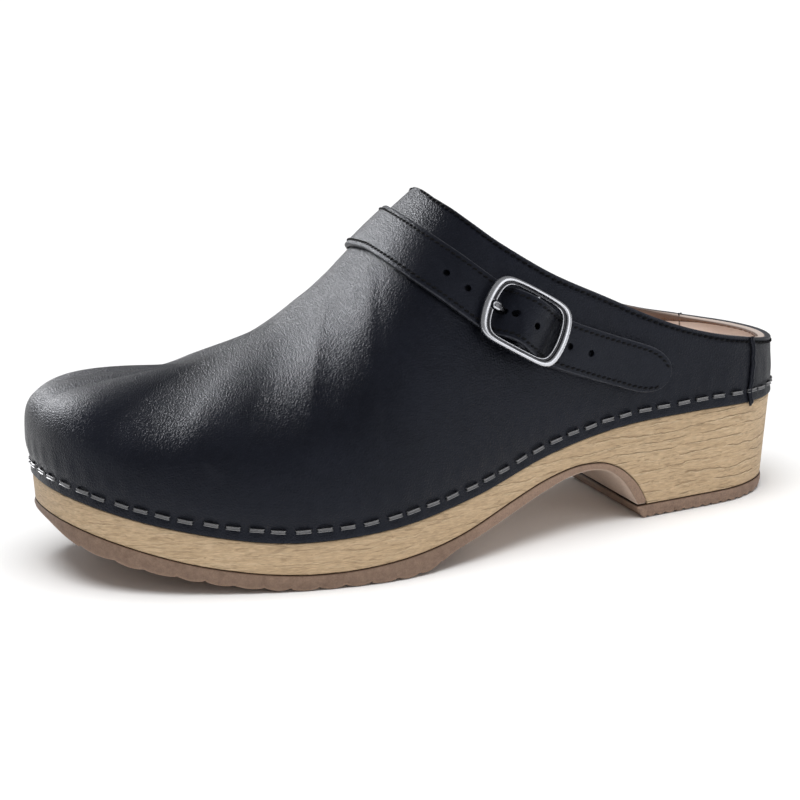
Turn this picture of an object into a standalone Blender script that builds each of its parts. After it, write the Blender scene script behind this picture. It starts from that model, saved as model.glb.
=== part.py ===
"""Slip-on wooden clog for a left foot.

A carved wooden sole carries a rubber outsole and a heel lift.  A closed-toe leather
upper is stapled round the rim of the sole.  An instep strap lies over the upper and is
held by a small buckle on the outer side of the foot.

The toe points to -X, the outer side of the foot to -Y, and the ground is Z = 0.
All design sizes are in millimetres; solid() writes the meshes in metres.  Stations
along the shoe are measured from the toe tip (0) to the back of the heel (LENGTH).
"""
import math

import bmesh
import bpy
import numpy as np
from mathutils import Vector
from mathutils.bvhtree import BVHTree

MM = 0.001
GAP = 0.3                  # clearance between neighbouring pieces

# ---- sole ---------------------------------------------------------------------------
LENGTH = 268.0             # toe tip to back of heel
ORIGIN_FROM_TOE = 235.0    # the origin is the middle of the heel's ground face
OUTLINE = [                # plan of the upper's lower edge: toe, outer side, heel, inner side
    (0, 16), (3, -4), (12, -19.6), (28, -33), (52, -44.5), (78, -53), (103, -55.8),
    (130, -50.8), (160, -42), (192, -35.5), (222, -33.4), (246, -29.6), (261, -18.5),
    (268, 1),
    (261, 20.5), (246, 29.5), (222, 32.5), (190, 31.5), (160, 33), (130, 38.5),
    (100, 45), (72, 47.5), (48, 47), (26, 44), (11, 37.5), (2.5, 28)]
HEEL_POINT = 13            # index of the heel tip in OUTLINE
STAPLE_LINE = [(0, 36.8), (30, 27.5), (65, 20.9), (100, 21.9), (135, 27.4), (165, 35.0),
               (195, 39.4), (225, 40.5), (268, 39.0)]       # station, height
EDGE_BELOW_STAPLES = 4.2   # leather's lower edge under the staple line
RIM_ABOVE_STAPLES = 4.0    # top of the wooden rim above the staple line
WOOD_LINE = [(-6, 26.0), (5, 21.7), (20, 16.2), (45, 9.0), (75, 5.3), (100, 6.4),
             (125, 10.2), (150, 18.2), (165, 22.6), (179, 24.3), (190.3, 22.1),
             (197, 17.6), (202.4, 11.0), (205.4, 5.0)]      # where wood meets rubber
HEEL_SEAT = 4.8            # height of the wood above the heel lift
GROUND_LINE = [(-6, 24.0), (1, 20.3), (5, 16.2), (16, 10.7), (33, 6.0), (52, 2.1),
               (68, 0.2), (78, 0.0), (107, 0.0), (113, 0.5), (125, 5.6), (136, 9.1),
               (150, 13.8), (162, 17.9), (173, 20.9), (183, 21.3), (189.8, 19.3),
               (195.3, 14.7), (199.2, 9.2), (201.4, 5.2)]   # underside of the outsole
WOOD_INSET = 0.6           # leather stands proud of the wood by this much
TOE_TAPER = 1.2            # how far the sole narrows down to the ground, forefoot
HEEL_TAPER = 4.5           # the same at the heel
TREAD_PITCH = 8.0
TREAD_GROOVE = 2.6
TREAD_DEPTH = 1.4
HEEL_TREAD_PITCH = 6.4
HEEL_FRONT = 204.0         # front of the heel lift, at the ground
HEEL_RAKE = 2.6            # the lift's front leans forward by this much at its top
DISH_WALL = 5.5            # width of the flat rim inside the ledge
DISH_SLOPE = 3.5
DISH_DEPTH = 5.0
SOCK_THICKNESS = 1.2

# ---- upper --------------------------------------------------------------------------
LEATHER = 1.8
LINING = 0.9
STIFFENER = 1.0
LINING_DEPTH = 3.4         # depth of the lining's outer side under the leather's face
LEDGE = LINING_DEPTH + LINING + GAP     # set-in of the wooden rim behind both
FRONT_ANCHOR = 46.0        # the sections over the toe fan out from this station
BACK_ANCHOR = 240.0        # and those round the heel from this one
RIDGE = [(46, 64.7), (60, 65.5), (75, 69.9), (90, 76.7), (105, 88.1), (120, 102.5),
         (138, 119.2), (165, 135.8), (240, 138.8)]          # height of the instep ridge
RIDGE_SIDE = [(46, 12), (140, 6), (240, 0)]                  # its sideways position
FULLNESS = [(0, 5.6), (50, 4.2), (100, 2.42), (150, 1.76), (268, 2.7)]  # section exponent
SWELL = [(0, 0.8), (60, 1.6), (140, 0.8), (220, 0.0)]        # leather swells above staples
SWELL_HEIGHT = 12.0
THROAT = 138.0
TOPLINES = (               # the edge of the opening: outer side, inner side
    [(138, 119.2), (139.7, 113.0), (142, 110.4), (145, 108.6), (150, 105.2), (165, 94.4),
     (190, 80.8), (215, 68.7), (236, 61.8), (245, 59.8), (258, 56.6), (268, 54.4)],
    [(138, 119.2), (139.7, 113.0), (142, 110.4), (145, 108.6), (150, 105.2), (165, 94.1),
     (190, 80.0), (215, 67.4), (236, 60.1), (245, 58.1), (258, 55.6), (268, 54.4)])
SEAM = 247.5               # side seam in front of the heel quarter
PUFF_END = 40.0
COUNTER_START = 215.0
FACING_WIDTH = 7.0
FACING = 0.8
CORD_RADIUS = 0.9

# ---- staples ------------------------------------------------------------------------
STAPLE_PITCH = 7.4
STAPLE_HALF = 2.0          # half the distance between a staple's legs
SEAM_CLEAR = 4.4           # no staple's middle comes nearer than this to a side seam
WIRE_HALF = 0.35
WIRE_HALF_HEIGHT = 0.6
CHANNEL_HALF = 1.2         # half the height of the staple channel in the wood
CHANNEL_DEPTH = 4.4
LEG_DEPTH = 3.5            # how far the legs reach past the ledge
SLOT_DEPTH = 3.1           # the slots in the leather reach past its back

# ---- instep strap and buckle --------------------------------------------------------
STRAP_TILT = math.radians(33.0)     # the strap's plane, turned about Y from horizontal
STRAP_CENTRE = (165.0, 0.0, 74.8)   # a point inside the upper, on the strap's plane
STRAP_BOW = [(0, 2.4), (10, 1.8), (36, -1.2), (60, -4.0), (83, -3.5), (100, -0.5),
             (118, 3.2), (135, 5.0)]                         # centreline off the plane
STRAP_HALF = 8.4
STRAP_THICKNESS = 1.7
STRAP_GAP = 0.5            # the straps lie this far off the upper
STRAP_TIP = 128.0          # arc length from the crest of the instep to the free tip
STRAP_INNER_END = -110.0   # to the end that is sewn to the inner side
TIP_ROUND = 15.0
BUCKLE_AT = 68.6           # arc length from the crest to the buckle's bar
BAR_HEIGHT = 5.4
BAR_RADIUS = 0.9
BORE_RADIUS = 1.3
LOOP_RADIUS = 2.5
ANCHOR_THICKNESS = 1.2
ANCHOR_HALF = 8.0
ANCHOR_END = 48.0
PRONG_SLOT_HALF = 1.7
HOLES = [-30.6, -22.6, -9.9, -6.0, 2.0, 18.2, 26.8]         # strap holes from the bar
PRONG_HOLE = HOLES[2]
PRONG_HOLE_STRETCH = 2.35
HOLE_RADIUS = 1.3
FRAME_HALF = (14.6, 11.8)
FRAME_BAR = 3.3
FRAME_RAIL = 1.7
FRAME_BOTTOM = 5.1
FRAME_THICKNESS = 2.0
FRAME_TILT = 0.04          # the heel end of the frame rides higher, over the anchor
FRAME_ARCH = 150.0         # radius of the frame's curve over the foot
FRAME_SQUARENESS = (4.6, 7.0)        # outer edge, inner edge
NOTCH_RADIUS = 1.7
PRONG_HALF = 0.9


# ---- curves -------------------------------------------------------------------------
def smooth(points, x):
    """Height of the smooth curve through (x, y) points."""
    xs, ys = np.array(points, float).T
    x = np.clip(np.asarray(x, float), xs[0], xs[-1])
    slope = np.gradient(ys, xs)
    i = np.clip(np.searchsorted(xs, x) - 1, 0, len(xs) - 2)
    h = xs[i + 1] - xs[i]
    t = (x - xs[i]) / h
    return ((2 * t**3 - 3 * t**2 + 1) * ys[i] + (t**3 - 2 * t**2 + t) * h * slope[i]
            + (3 * t**2 - 2 * t**3) * ys[i + 1] + (t**3 - t**2) * h * slope[i + 1])


def straight(points, x):
    """Height of the straight-segment line through (x, y) points."""
    xs, ys = np.array(points, float).T
    return np.interp(x, xs, ys)


def resample(points, lengths):
    """Points at the given arc lengths along a polyline."""
    steps = np.linalg.norm(np.diff(points, axis=0), axis=1)
    along = np.concatenate([[0.0], np.cumsum(steps)])
    return np.stack([np.interp(lengths, along, column) for column in points.T], axis=1)


def arc_length(points):
    return np.linalg.norm(np.diff(points, axis=0), axis=1).sum()


def outline_halves(count=600):
    """The closed outline, cut at toe and heel into its outer and inner half."""
    pts = np.array(OUTLINE, float)
    loop = np.vstack([pts[-3:], pts, pts[:4]])
    step = np.sqrt(np.linalg.norm(np.diff(loop, axis=0), axis=1))
    knots = np.concatenate([[0.0], np.cumsum(step)])
    toe, heel, toe_again = knots[3], knots[3 + HEEL_POINT], knots[3 + len(pts)]
    halves = []
    for start, end in ((toe, heel), (toe_again, heel)):
        t = np.linspace(start, end, 4 * count)
        dense = np.stack([smooth(list(zip(knots, loop[:, k])), t) for k in (0, 1)], axis=1)
        halves.append(resample(dense, np.linspace(0.0, arc_length(dense), count)))
    return halves


HALVES = outline_halves()


def rim(side, u):
    """Plan points of one half outline at fractions u of its length."""
    half = HALVES[side]
    fractions = np.linspace(0.0, 1.0, len(half))
    return np.stack([np.interp(u, fractions, half[:, k]) for k in (0, 1)], axis=-1)


def anchor_station(u):
    """Station of the ridge point that belongs to the section at u."""
    middle = 0.5 * (rim(0, u)[..., 0] + rim(1, u)[..., 0])
    return FRONT_ANCHOR + (BACK_ANCHOR - FRONT_ANCHOR) * middle / LENGTH


def solve_u(value, function):
    """The fraction u at which an increasing function of u reaches a value."""
    u = np.linspace(0.0, 1.0, 4001)
    return float(np.interp(value, function(u), u))


# ---- the upper's outer face ---------------------------------------------------------
def section(u, side, trimmed=True, samples=241):
    """One half section, from the staple line to the ridge, or to the topline if trimmed."""
    base = rim(side, u)
    station = anchor_station(u)
    centre = np.array([station, straight(RIDGE_SIDE, station)])
    top = smooth(RIDGE, station)
    slope = 0.5 * (smooth(RIDGE, station + 1) - smooth(RIDGE, max(station - 1, FRONT_ANCHOR)))
    low = smooth(STAPLE_LINE, base[0])
    power = 2.0 / straight(FULLNESS, base[0])
    angle = np.linspace(0.0, math.pi / 2, samples)
    across = np.cos(angle) ** power
    across[-1] = 0.0
    up = np.sin(angle) ** power
    plan = centre + (base - centre) * across[:, None]
    height = low * (1 - up) + (top + slope * (plan[:, 0] - station)) * up
    outward = (base - centre) / np.linalg.norm(base - centre)
    rise = (height - low) / SWELL_HEIGHT
    swell = straight(SWELL, base[0]) * rise * np.exp(1 - rise) * across
    points = np.column_stack([plan + outward * swell[:, None], height])
    if station <= THROAT or not trimmed:
        return points
    over = points[:, 2] - smooth(TOPLINES[side], points[:, 0])
    last = int(np.argmax(over > 0))
    share = over[last - 1] / (over[last - 1] - over[last])
    edge = points[last - 1] + (points[last] - points[last - 1]) * share
    return np.vstack([points[:last], edge])


class Face:
    """A grid over the upper's outer face: rows run up each half section."""

    def __init__(self, fractions, row_lengths, trimmed=True):
        self.fractions = fractions
        joined = np.searchsorted(fractions, THROAT_U + 1e-9) if trimmed else len(fractions)
        self.throat = int(joined) - 1
        self.points = np.array([[self.column(u, side, row_lengths, trimmed) for u in fractions]
                                for side in (0, 1)])
        self.rows = self.points.shape[2]
        self.normals = self.smooth_normals(row_lengths, trimmed)

    @staticmethod
    def column(u, side, row_lengths, trimmed):
        """Grid points up one half section, from the leather's lower edge."""
        line = section(u, side, trimmed)
        foot = line[0] - [0, 0, EDGE_BELOW_STAPLES - GAP]
        return np.vstack([foot, resample(line, row_lengths(arc_length(line)))])

    def key(self, side, i, j):
        """Grid index of a vertex, shared where the two halves meet."""
        ends = i in (0, len(self.fractions) - 1)
        ridge = j == self.rows - 1 and i <= self.throat
        return (0 if ends or ridge else side, i, j)

    def triangles(self, i_range, j_range):
        """Both halves of a grid range, cut the same way on every layer."""
        faces = []
        for side in (0, 1):
            for i in range(*i_range):
                for j in range(*j_range):
                    ring = [(i, j), (i + 1, j), (i + 1, j + 1), (i, j + 1)]
                    for corners in ((0, 1, 2), (0, 2, 3)):
                        face = [self.key(side, *ring[c]) for c in corners]
                        faces.append(face[::-1] if side == 1 else face)
        return faces

    def smooth_normals(self, row_lengths, trimmed):
        """Normals of the true face, averaged where the two halves meet."""
        near = 0.002
        total = np.zeros_like(self.points)
        for side in (0, 1):
            for i, u in enumerate(self.fractions):
                ahead = self.column(min(u + near, 1.0), side, row_lengths, trimmed)
                behind = self.column(max(u - near, 0.0), side, row_lengths, trimmed)
                upward = np.gradient(self.points[side, i], axis=0)
                normal = np.cross(ahead - behind, upward) * (1 if side == 0 else -1)
                normal[0, 2] = 0.0
                normal /= np.linalg.norm(normal, axis=1, keepdims=True) + 1e-12
                for j in range(self.rows):
                    total[self.key(side, i, j)] += normal[j]
        for i in range(self.throat + 1):
            station = anchor_station(self.fractions[i])
            slope = (smooth(RIDGE, station + 1) - smooth(RIDGE, station - 1)) / 2
            total[0, i, -1] = [-slope, 0.0, 1.0]
        normals = np.zeros_like(total)
        for k in np.ndindex(total.shape[:3]):
            normals[k] = total[self.key(*k)]
        return normals / np.linalg.norm(normals, axis=3, keepdims=True)

    def sheet(self, i_range, j_range, outer, inner):
        """Vertices and faces of the closed sheet between two depths."""
        triangles = self.triangles(i_range, j_range)
        keys = sorted({k for face in triangles for k in face})
        index = {k: n for n, k in enumerate(keys)}
        vertices = [self.points[k] - self.normals[k] * depth
                    for depth in (outer, inner) for k in keys]
        count = len(keys)
        faces = [[index[k] for k in face] for face in triangles]
        edges = {(a, b) for f in faces for a, b in zip(f, f[1:] + f[:1])}
        rims = [(a, b) for a, b in edges if (b, a) not in edges]
        faces += [[v + count for v in reversed(f)] for f in list(faces)]
        faces += [[b, a, a + count, b + count] for a, b in sorted(rims)]
        return vertices, faces


THROAT_U = solve_u(THROAT, anchor_station)
SEAM_U = solve_u(SEAM, lambda u: rim(0, u)[..., 0])


def stations(front, middle, back, seam_gap):
    """Fractions from toe to heel, with one on the throat and two at the seam."""
    before = np.linspace(0.0, THROAT_U, front)
    spread = np.linspace(0.0, 1.0, middle) ** 1.25
    between = THROAT_U + (SEAM_U - seam_gap - THROAT_U) * spread
    after = np.linspace(SEAM_U + seam_gap, 1.0, back)
    return np.concatenate([before, between[1:], after])


FRACTIONS = stations(15, 11, 5, 0.0008)
SEAM_INDEX = 24            # the vamp ends at this fraction, the heel quarter starts after it


# ---- meshes and materials -----------------------------------------------------------
def material(name, colour, roughness, metallic=0.0):
    mat = bpy.data.materials.new(name)
    mat.use_nodes = True
    shader = mat.node_tree.nodes["Principled BSDF"]
    shader.inputs["Base Color"].default_value = (*colour, 1.0)
    shader.inputs["Roughness"].default_value = roughness
    shader.inputs["Metallic"].default_value = metallic
    mat.diffuse_color = (*colour, 1.0)
    return mat


def to_world(points):
    """Millimetres from the toe tip to metres from the origin."""
    return (np.asarray(points, float) - [ORIGIN_FROM_TOE, 0.0, 0.0]) * MM


def solid(name, vertices, faces, mat, sharp=35.0, pivot=None):
    """A named object from millimetre vertices, with its normals pointing out."""
    origin = np.zeros(3) if pivot is None else to_world(pivot)
    mesh = bpy.data.meshes.new(name)
    places = to_world(vertices) - origin
    mesh.from_pydata([tuple(v) for v in places], [], [list(f) for f in faces])
    work = bmesh.new()
    work.from_mesh(mesh)
    bmesh.ops.recalc_face_normals(work, faces=work.faces)
    work.to_mesh(mesh)
    work.free()
    mesh.shade_smooth()
    mesh.set_sharp_from_angle(angle=math.radians(sharp))
    if mat is not None:
        mesh.materials.append(mat)
    obj = bpy.data.objects.new(name, mesh)
    obj.location = origin
    bpy.context.scene.collection.objects.link(obj)
    return obj


def cutter(name, vertices, faces):
    obj = solid(name, vertices, faces, None)
    obj.hide_render = True
    obj.display_type = "WIRE"
    return obj


def boolean(obj, tool, operation="DIFFERENCE"):
    modifier = obj.modifiers.new(tool.name, "BOOLEAN")
    modifier.operation = operation
    modifier.solver = "EXACT"
    modifier.object = tool


def prism(profile, across=80.0):
    """A polygon in the side view, extruded right across the shoe."""
    count = len(profile)
    vertices = [(x, side * across, z) for side in (-1, 1) for x, z in profile]
    faces = [list(range(count)), list(range(2 * count - 1, count - 1, -1))]
    faces += [[i, (i + 1) % count, (i + 1) % count + count, i + count] for i in range(count)]
    return vertices, faces


def box_faces():
    """Faces of a box whose corners are listed as bits x, y, z."""
    return [[0, 1, 3, 2], [4, 6, 7, 5], [0, 4, 5, 1], [2, 3, 7, 6], [0, 2, 6, 4], [1, 5, 7, 3]]


def stack(rings, close):
    """Quads between equal rings; close() gives the cap faces of one ring."""
    count = len(rings[0])
    vertices = np.vstack(rings)
    faces = list(close(0))
    for r in range(len(rings) - 1):
        for i in range(count):
            j = (i + 1) % count
            faces.append([r * count + i, r * count + j, (r + 1) * count + j, (r + 1) * count + i])
    faces += list(close((len(rings) - 1) * count))
    return vertices, faces


def disc(count):
    """Cap function for stack(): one polygon."""
    return lambda start: [list(range(start, start + count))]


# ---- rings round the sole -----------------------------------------------------------
class Rings:
    """Closed rings that follow the outline, set in by a distance and raised to a height."""

    def __init__(self, fractions):
        self.count = 2 * len(fractions) - 2
        outer = rim(0, fractions)
        inner = rim(1, fractions)
        self.plan = np.vstack([outer, inner[-2:0:-1]])
        self.inward = np.vstack([self.inward_normals(0, fractions),
                                 self.inward_normals(1, fractions)[-2:0:-1]])
        self.staple = smooth(STAPLE_LINE, self.plan[:, 0])

    @staticmethod
    def inward_normals(side, fractions):
        """Plan normals that point into the shoe; toe and heel average both halves."""
        near = 0.002
        ahead = rim(side, np.minimum(fractions + near, 1.0))
        behind = rim(side, np.maximum(fractions - near, 0.0))
        behind[0] = rim(1 - side, near)
        ahead[-1] = rim(1 - side, 1.0 - near)
        tangent = ahead - behind
        tangent /= np.linalg.norm(tangent, axis=1, keepdims=True)
        turn = 1.0 if side == 0 else -1.0
        return turn * np.column_stack([-tangent[:, 1], tangent[:, 0]])

    def top(self, inset):
        """Height of the wooden rim along a set-in ring, the same at both partners."""
        x = (self.plan + self.inward * inset)[:, 0]
        middle = 0.5 * (x + np.roll(x[::-1], 1))
        return smooth(STAPLE_LINE, middle) + RIM_ABOVE_STAPLES

    def ring(self, inset, height):
        plan = self.plan + self.inward * np.broadcast_to(inset, (self.count,))[:, None]
        return np.column_stack([plan, np.broadcast_to(height, (self.count,))])

    def ladder(self, start):
        """Cap that joins each outer-side point to its inner-side partner."""
        last = self.count // 2
        faces = [[start, start + 1, start + self.count - 1]]
        for i in range(1, last - 1):
            partner = self.count - i
            faces.append([start + i, start + i + 1, start + partner - 1, start + partner])
        faces.append([start + last - 1, start + last, start + last + 1])
        return faces

    def solid(self, *rings):
        return stack([self.ring(*r) for r in rings], self.ladder)


def sole_taper(x):
    """Set-in of the sole's wall at the ground."""
    return straight([(0, TOE_TAPER), (150, TOE_TAPER), (215, HEEL_TAPER), (LENGTH, HEEL_TAPER)], x)


# ---- sole pieces --------------------------------------------------------------------
def wall_rings(rings, proud=0.0):
    """Two rings that span the sole's tapered wall."""
    edge = rings.staple - EDGE_BELOW_STAPLES
    low = WOOD_INSET + sole_taper(rings.plan[:, 0]) - proud
    return (low, -4.0), (WOOD_INSET - proud, edge)


def curve_points(points, start, end, step):
    x = np.linspace(start, end, max(2, int(round((end - start) / step)) + 1))
    return np.column_stack([x, smooth(points, x)])


def wooden_sole(rings, mats):
    """Carved sole: stapling ledge with a staple channel, rim, and dished top."""
    edge = rings.staple - EDGE_BELOW_STAPLES
    deep = LEDGE + CHANNEL_DEPTH
    wall = LEDGE + DISH_WALL
    floor = wall + DISH_SLOPE
    low_channel = rings.staple - CHANNEL_HALF
    high_channel = rings.staple + CHANNEL_HALF
    vertices, faces = rings.solid(
        *wall_rings(rings), (LEDGE, edge), (LEDGE, low_channel), (deep, low_channel),
        (deep, high_channel), (LEDGE, high_channel), (LEDGE, rings.top(LEDGE)),
        (wall, rings.top(wall)), (floor, rings.top(floor) - DISH_DEPTH))
    sole = solid("wooden_sole", vertices, faces, mats["wood"])
    line = curve_points(WOOD_LINE, -6, WOOD_LINE[-1][0], 4.0)
    under = [(-12, -12), (-12, WOOD_LINE[0][1])]
    under += [tuple(p) for p in line]
    under += [(LENGTH + 12, HEEL_SEAT), (LENGTH + 12, -12)]
    boolean(sole, cutter("space_under_wood", *prism(under)))
    return sole


def offset_line(points, distance):
    """A side-view line moved along its own normal (positive is down)."""
    tangent = np.gradient(points, axis=0)
    tangent /= np.linalg.norm(tangent, axis=1, keepdims=True)
    return points + np.column_stack([tangent[:, 1], -tangent[:, 0]]) * distance


def treaded(line, pitch, first, last):
    """The ground line with cross grooves cut into it between two stations."""
    start = [p for p in line if p[0] < first]
    end = [p for p in line if p[0] > last]
    along = resample(line, np.linspace(0.0, arc_length(line), 2000))
    slope = np.gradient(along, axis=0)
    slope /= np.linalg.norm(slope, axis=1, keepdims=True)
    lengths = np.linspace(0.0, arc_length(line), 2000)
    result = list(start)
    at = lengths[np.searchsorted(along[:, 0], first)]
    stop = lengths[np.searchsorted(along[:, 0], last)]
    while at + pitch < stop:
        for shift, depth in ((0.0, 0.0), (pitch - TREAD_GROOVE, 0.0),
                             (pitch - 0.75 * TREAD_GROOVE, TREAD_DEPTH),
                             (pitch - 0.25 * TREAD_GROOVE, TREAD_DEPTH)):
            k = int(np.searchsorted(lengths, at + shift))
            result.append(along[k] + np.array([-slope[k, 1], slope[k, 0]]) * depth)
        at += pitch
    return result + list(end)


def outsole(rings, mats):
    """Rubber from the toe to the foot of the heel breast, ribbed under the forefoot."""
    block = solid("forefoot_outsole", *rings.solid(*wall_rings(rings, proud=0.2)), mats["rubber"])
    top = offset_line(curve_points(WOOD_LINE, -6, WOOD_LINE[-1][0], 4.0), GAP)
    foot = HEEL_SEAT + GAP
    top = [p for p in top if p[0] < WOOD_LINE[-1][0] - 2.6]
    ground = curve_points(GROUND_LINE, -6, GROUND_LINE[-1][0], 4.0)
    ground[:, 1] = np.maximum(ground[:, 1], 0.0)
    bottom = treaded(ground, TREAD_PITCH, 7.0, 122.0)
    slant = (WOOD_LINE[-1][0] - 0.5, foot)
    profile = [tuple(p) for p in top] + [slant] + [tuple(p) for p in reversed(bottom)]
    boolean(block, cutter("outsole_profile", *prism(profile)), "INTERSECT")
    return block


def heel_lift(rings, mats):
    """Flat rubber lift under the wooden heel, ribbed across."""
    block = solid("heel_lift", *rings.solid(*wall_rings(rings, proud=0.2)), mats["rubber"])
    ground = np.array([(HEEL_FRONT, 0.0), (LENGTH - 16, 0.0), (LENGTH - 4, 1.4), (LENGTH + 4, 3.2)])
    bottom = treaded(ground, HEEL_TREAD_PITCH, HEEL_FRONT + 2, LENGTH - 14)
    top = HEEL_SEAT - GAP
    profile = [(LENGTH + 4, top), (HEEL_FRONT - HEEL_RAKE, top)] + [tuple(p) for p in bottom]
    boolean(block, cutter("lift_profile", *prism(profile)), "INTERSECT")
    return block


def footbed(rings, mats):
    """Foam in the dish of the sole, and the sock lining that covers it."""
    wall = LEDGE + DISH_WALL
    low = wall + DISH_SLOPE + 0.8
    high = wall + 0.8
    foam = rings.solid((low, rings.top(low) - DISH_DEPTH + 2 * GAP),
                       (high, rings.top(high) - GAP))
    solid("footbed_foam", *foam, mats["foam"])
    edge = LEDGE + 1.2
    under = rings.top(edge) + 2 * GAP
    sock = rings.solid((edge, under), (edge, under + SOCK_THICKNESS))
    solid("sock_lining", *sock, mats["sock"])


# ---- upper pieces -------------------------------------------------------------------
def even_rows(count, first=1.5):
    """Row positions up a section: one close above the staples, two near the top."""
    def rows(total):
        facing = min(FACING_WIDTH, 0.35 * total)
        low = np.linspace(first, total - facing, count - 2)
        return np.concatenate([low, [total - 0.5 * facing, total]])
    return rows


def index_after(x):
    """First of the shared fractions behind a station."""
    return int(np.searchsorted(rim(0, FRACTIONS)[:, 0], x))


def upper(mats):
    """Leather, stiffeners, linings and facing, all parallel to one outer face."""
    face = Face(FRACTIONS, even_rows(9))
    last = len(FRACTIONS) - 1
    top = face.rows - 1
    front = (0, SEAM_INDEX)
    rear = (SEAM_INDEX + 1, last)
    leather = (0.0, LEATHER)
    stiff = (LEATHER + GAP, LEATHER + GAP + STIFFENER)
    lining = (LINING_DEPTH, LINING_DEPTH + LINING)
    vamp = solid("vamp", *face.sheet(front, (0, top), *leather), mats["leather"])
    quarter = solid("heel_quarter", *face.sheet(rear, (0, top), *leather), mats["leather"])
    puff = face.sheet((0, index_after(PUFF_END)), (2, top), *stiff)
    solid("toe_puff", *puff, mats["stiffener"])
    counter = face.sheet((index_after(COUNTER_START), last), (2, top - 1), *stiff)
    solid("heel_counter", *counter, mats["stiffener"])
    solid("vamp_lining", *face.sheet(front, (1, top), *lining), mats["lining"])
    solid("heel_lining", *face.sheet(rear, (1, top), *lining), mats["lining"])
    first = face.throat + 1
    strip = face.sheet((first, last), (top - 2, top), LEDGE, LEDGE + FACING)
    solid("topline_facing", *strip, mats["facing"])
    return face, vamp, quarter


def tube(path, radius, sides=8):
    """A closed round bar along a polyline."""
    tangent = np.gradient(path, axis=0)
    tangent /= np.linalg.norm(tangent, axis=1, keepdims=True)
    rings = []
    for point, ahead in zip(path, tangent):
        first = np.cross(ahead, [0.0, 1.0, 0.0])
        if np.linalg.norm(first) < 0.3:
            first = np.cross(ahead, [1.0, 0.0, 0.0])
        first /= np.linalg.norm(first)
        second = np.cross(ahead, first)
        turn = np.linspace(0.0, 2 * math.pi, sides, endpoint=False)
        rings.append(point + radius * (np.cos(turn)[:, None] * first
                                       + np.sin(turn)[:, None] * second))
    return stack(rings, disc(sides))


def seam_cords(face, mats):
    """Raised cord over each side seam in front of the heel quarter."""
    for side, name in ((0, "seam_cord_outer"), (1, "seam_cord_inner")):
        along = 0.5 * (face.points[side, SEAM_INDEX] + face.points[side, SEAM_INDEX + 1])
        out = face.normals[side, SEAM_INDEX]
        solid(name, *tube(along + out * (CORD_RADIUS + GAP), CORD_RADIUS), mats["leather"])


# ---- staples ------------------------------------------------------------------------
class RimPath:
    """The staple line as a closed path round the shoe, from the toe tip."""

    def __init__(self):
        outer, inner = HALVES
        plan = np.vstack([outer, inner[-2:0:-1]])
        loop = np.column_stack([plan, smooth(STAPLE_LINE, plan[:, 0])])
        self.loop = np.vstack([loop, loop[:1]])
        steps = np.linalg.norm(np.diff(self.loop, axis=0), axis=1)
        self.along = np.concatenate([[0.0], np.cumsum(steps)])
        self.length = self.along[-1]

    def nearest(self, plan):
        """Length along the path of the point nearest to a plan point."""
        return self.along[np.argmin(np.linalg.norm(self.loop[:, :2] - plan, axis=1))]

    def point(self, s, out, up):
        """World point at s along the path, moved outward and upward."""
        def at(value):
            value = value % self.length
            return np.array([np.interp(value, self.along, c) for c in self.loop.T])
        tangent = at(s + 1.0) - at(s - 1.0)
        outward = np.array([tangent[1], -tangent[0], 0.0])
        outward /= np.linalg.norm(outward)
        return at(s) + outward * out + np.array([0.0, 0.0, up])


def staple_wire(path, centres):
    """A row of staples: crowns outside, legs in the wood, joined in the channel."""
    crown = GAP + WIRE_HALF
    back = -(LEDGE + LEG_DEPTH)
    corners = []
    for s in centres:
        corners += [(s - STAPLE_HALF, back, -1, 1), (s - STAPLE_HALF, crown, -1, 1),
                    (s + STAPLE_HALF, crown, 1, 1), (s + STAPLE_HALF, back, 1, 1)]
    rings = []
    for k, (s, out, side, front) in enumerate(corners):
        if k in (0, len(corners) - 1):
            front = 0
        ring = []
        for sign, up in ((1, -1), (1, 1), (-1, 1), (-1, -1)):
            ring.append(path.point(s + sign * side * WIRE_HALF, out + sign * front * WIRE_HALF,
                                   up * WIRE_HALF_HEIGHT))
        rings.append(np.array(ring))
    return stack(rings, disc(4))


def staple_slots(path, centres):
    """Boxes that clear the staples' legs through the leather."""
    vertices, faces = [], []
    reach = STAPLE_HALF + WIRE_HALF + GAP
    for s in centres:
        start = len(vertices)
        for ds in (-reach, reach):
            for out in (-SLOT_DEPTH, 1.5):
                for up in (-WIRE_HALF_HEIGHT - GAP, WIRE_HALF_HEIGHT + GAP):
                    vertices.append(path.point(s + ds, out, up))
        faces += [[start + v for v in f] for f in box_faces()]
    return vertices, faces


def staples(leathers, mats):
    """Staples all round, in five rows, and the slots they need in the leather."""
    path = RimPath()
    count = int(path.length / STAPLE_PITCH)
    pitch = path.length / count
    centres = (np.arange(count) + 0.5) * pitch
    seams = [path.nearest(rim(side, SEAM_U)) for side in (0, 1)]
    clear = [s for s in centres if min(abs(s - seam) for seam in seams) > SEAM_CLEAR]
    bounds = [(0.0, 0.10, "toe_outer"), (0.10, 0.44, "outer"), (0.44, 0.56, "heel"),
              (0.56, 0.90, "inner"), (0.90, 1.0, "toe_inner")]
    for low, high, name in bounds:
        row = [s for s in clear if low <= s / path.length < high]
        solid("staples_" + name, *staple_wire(path, row), mats["steel"])
    slots = cutter("staple_slots", *staple_slots(path, clear))
    for leather in leathers:
        boolean(leather, slots)


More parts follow.
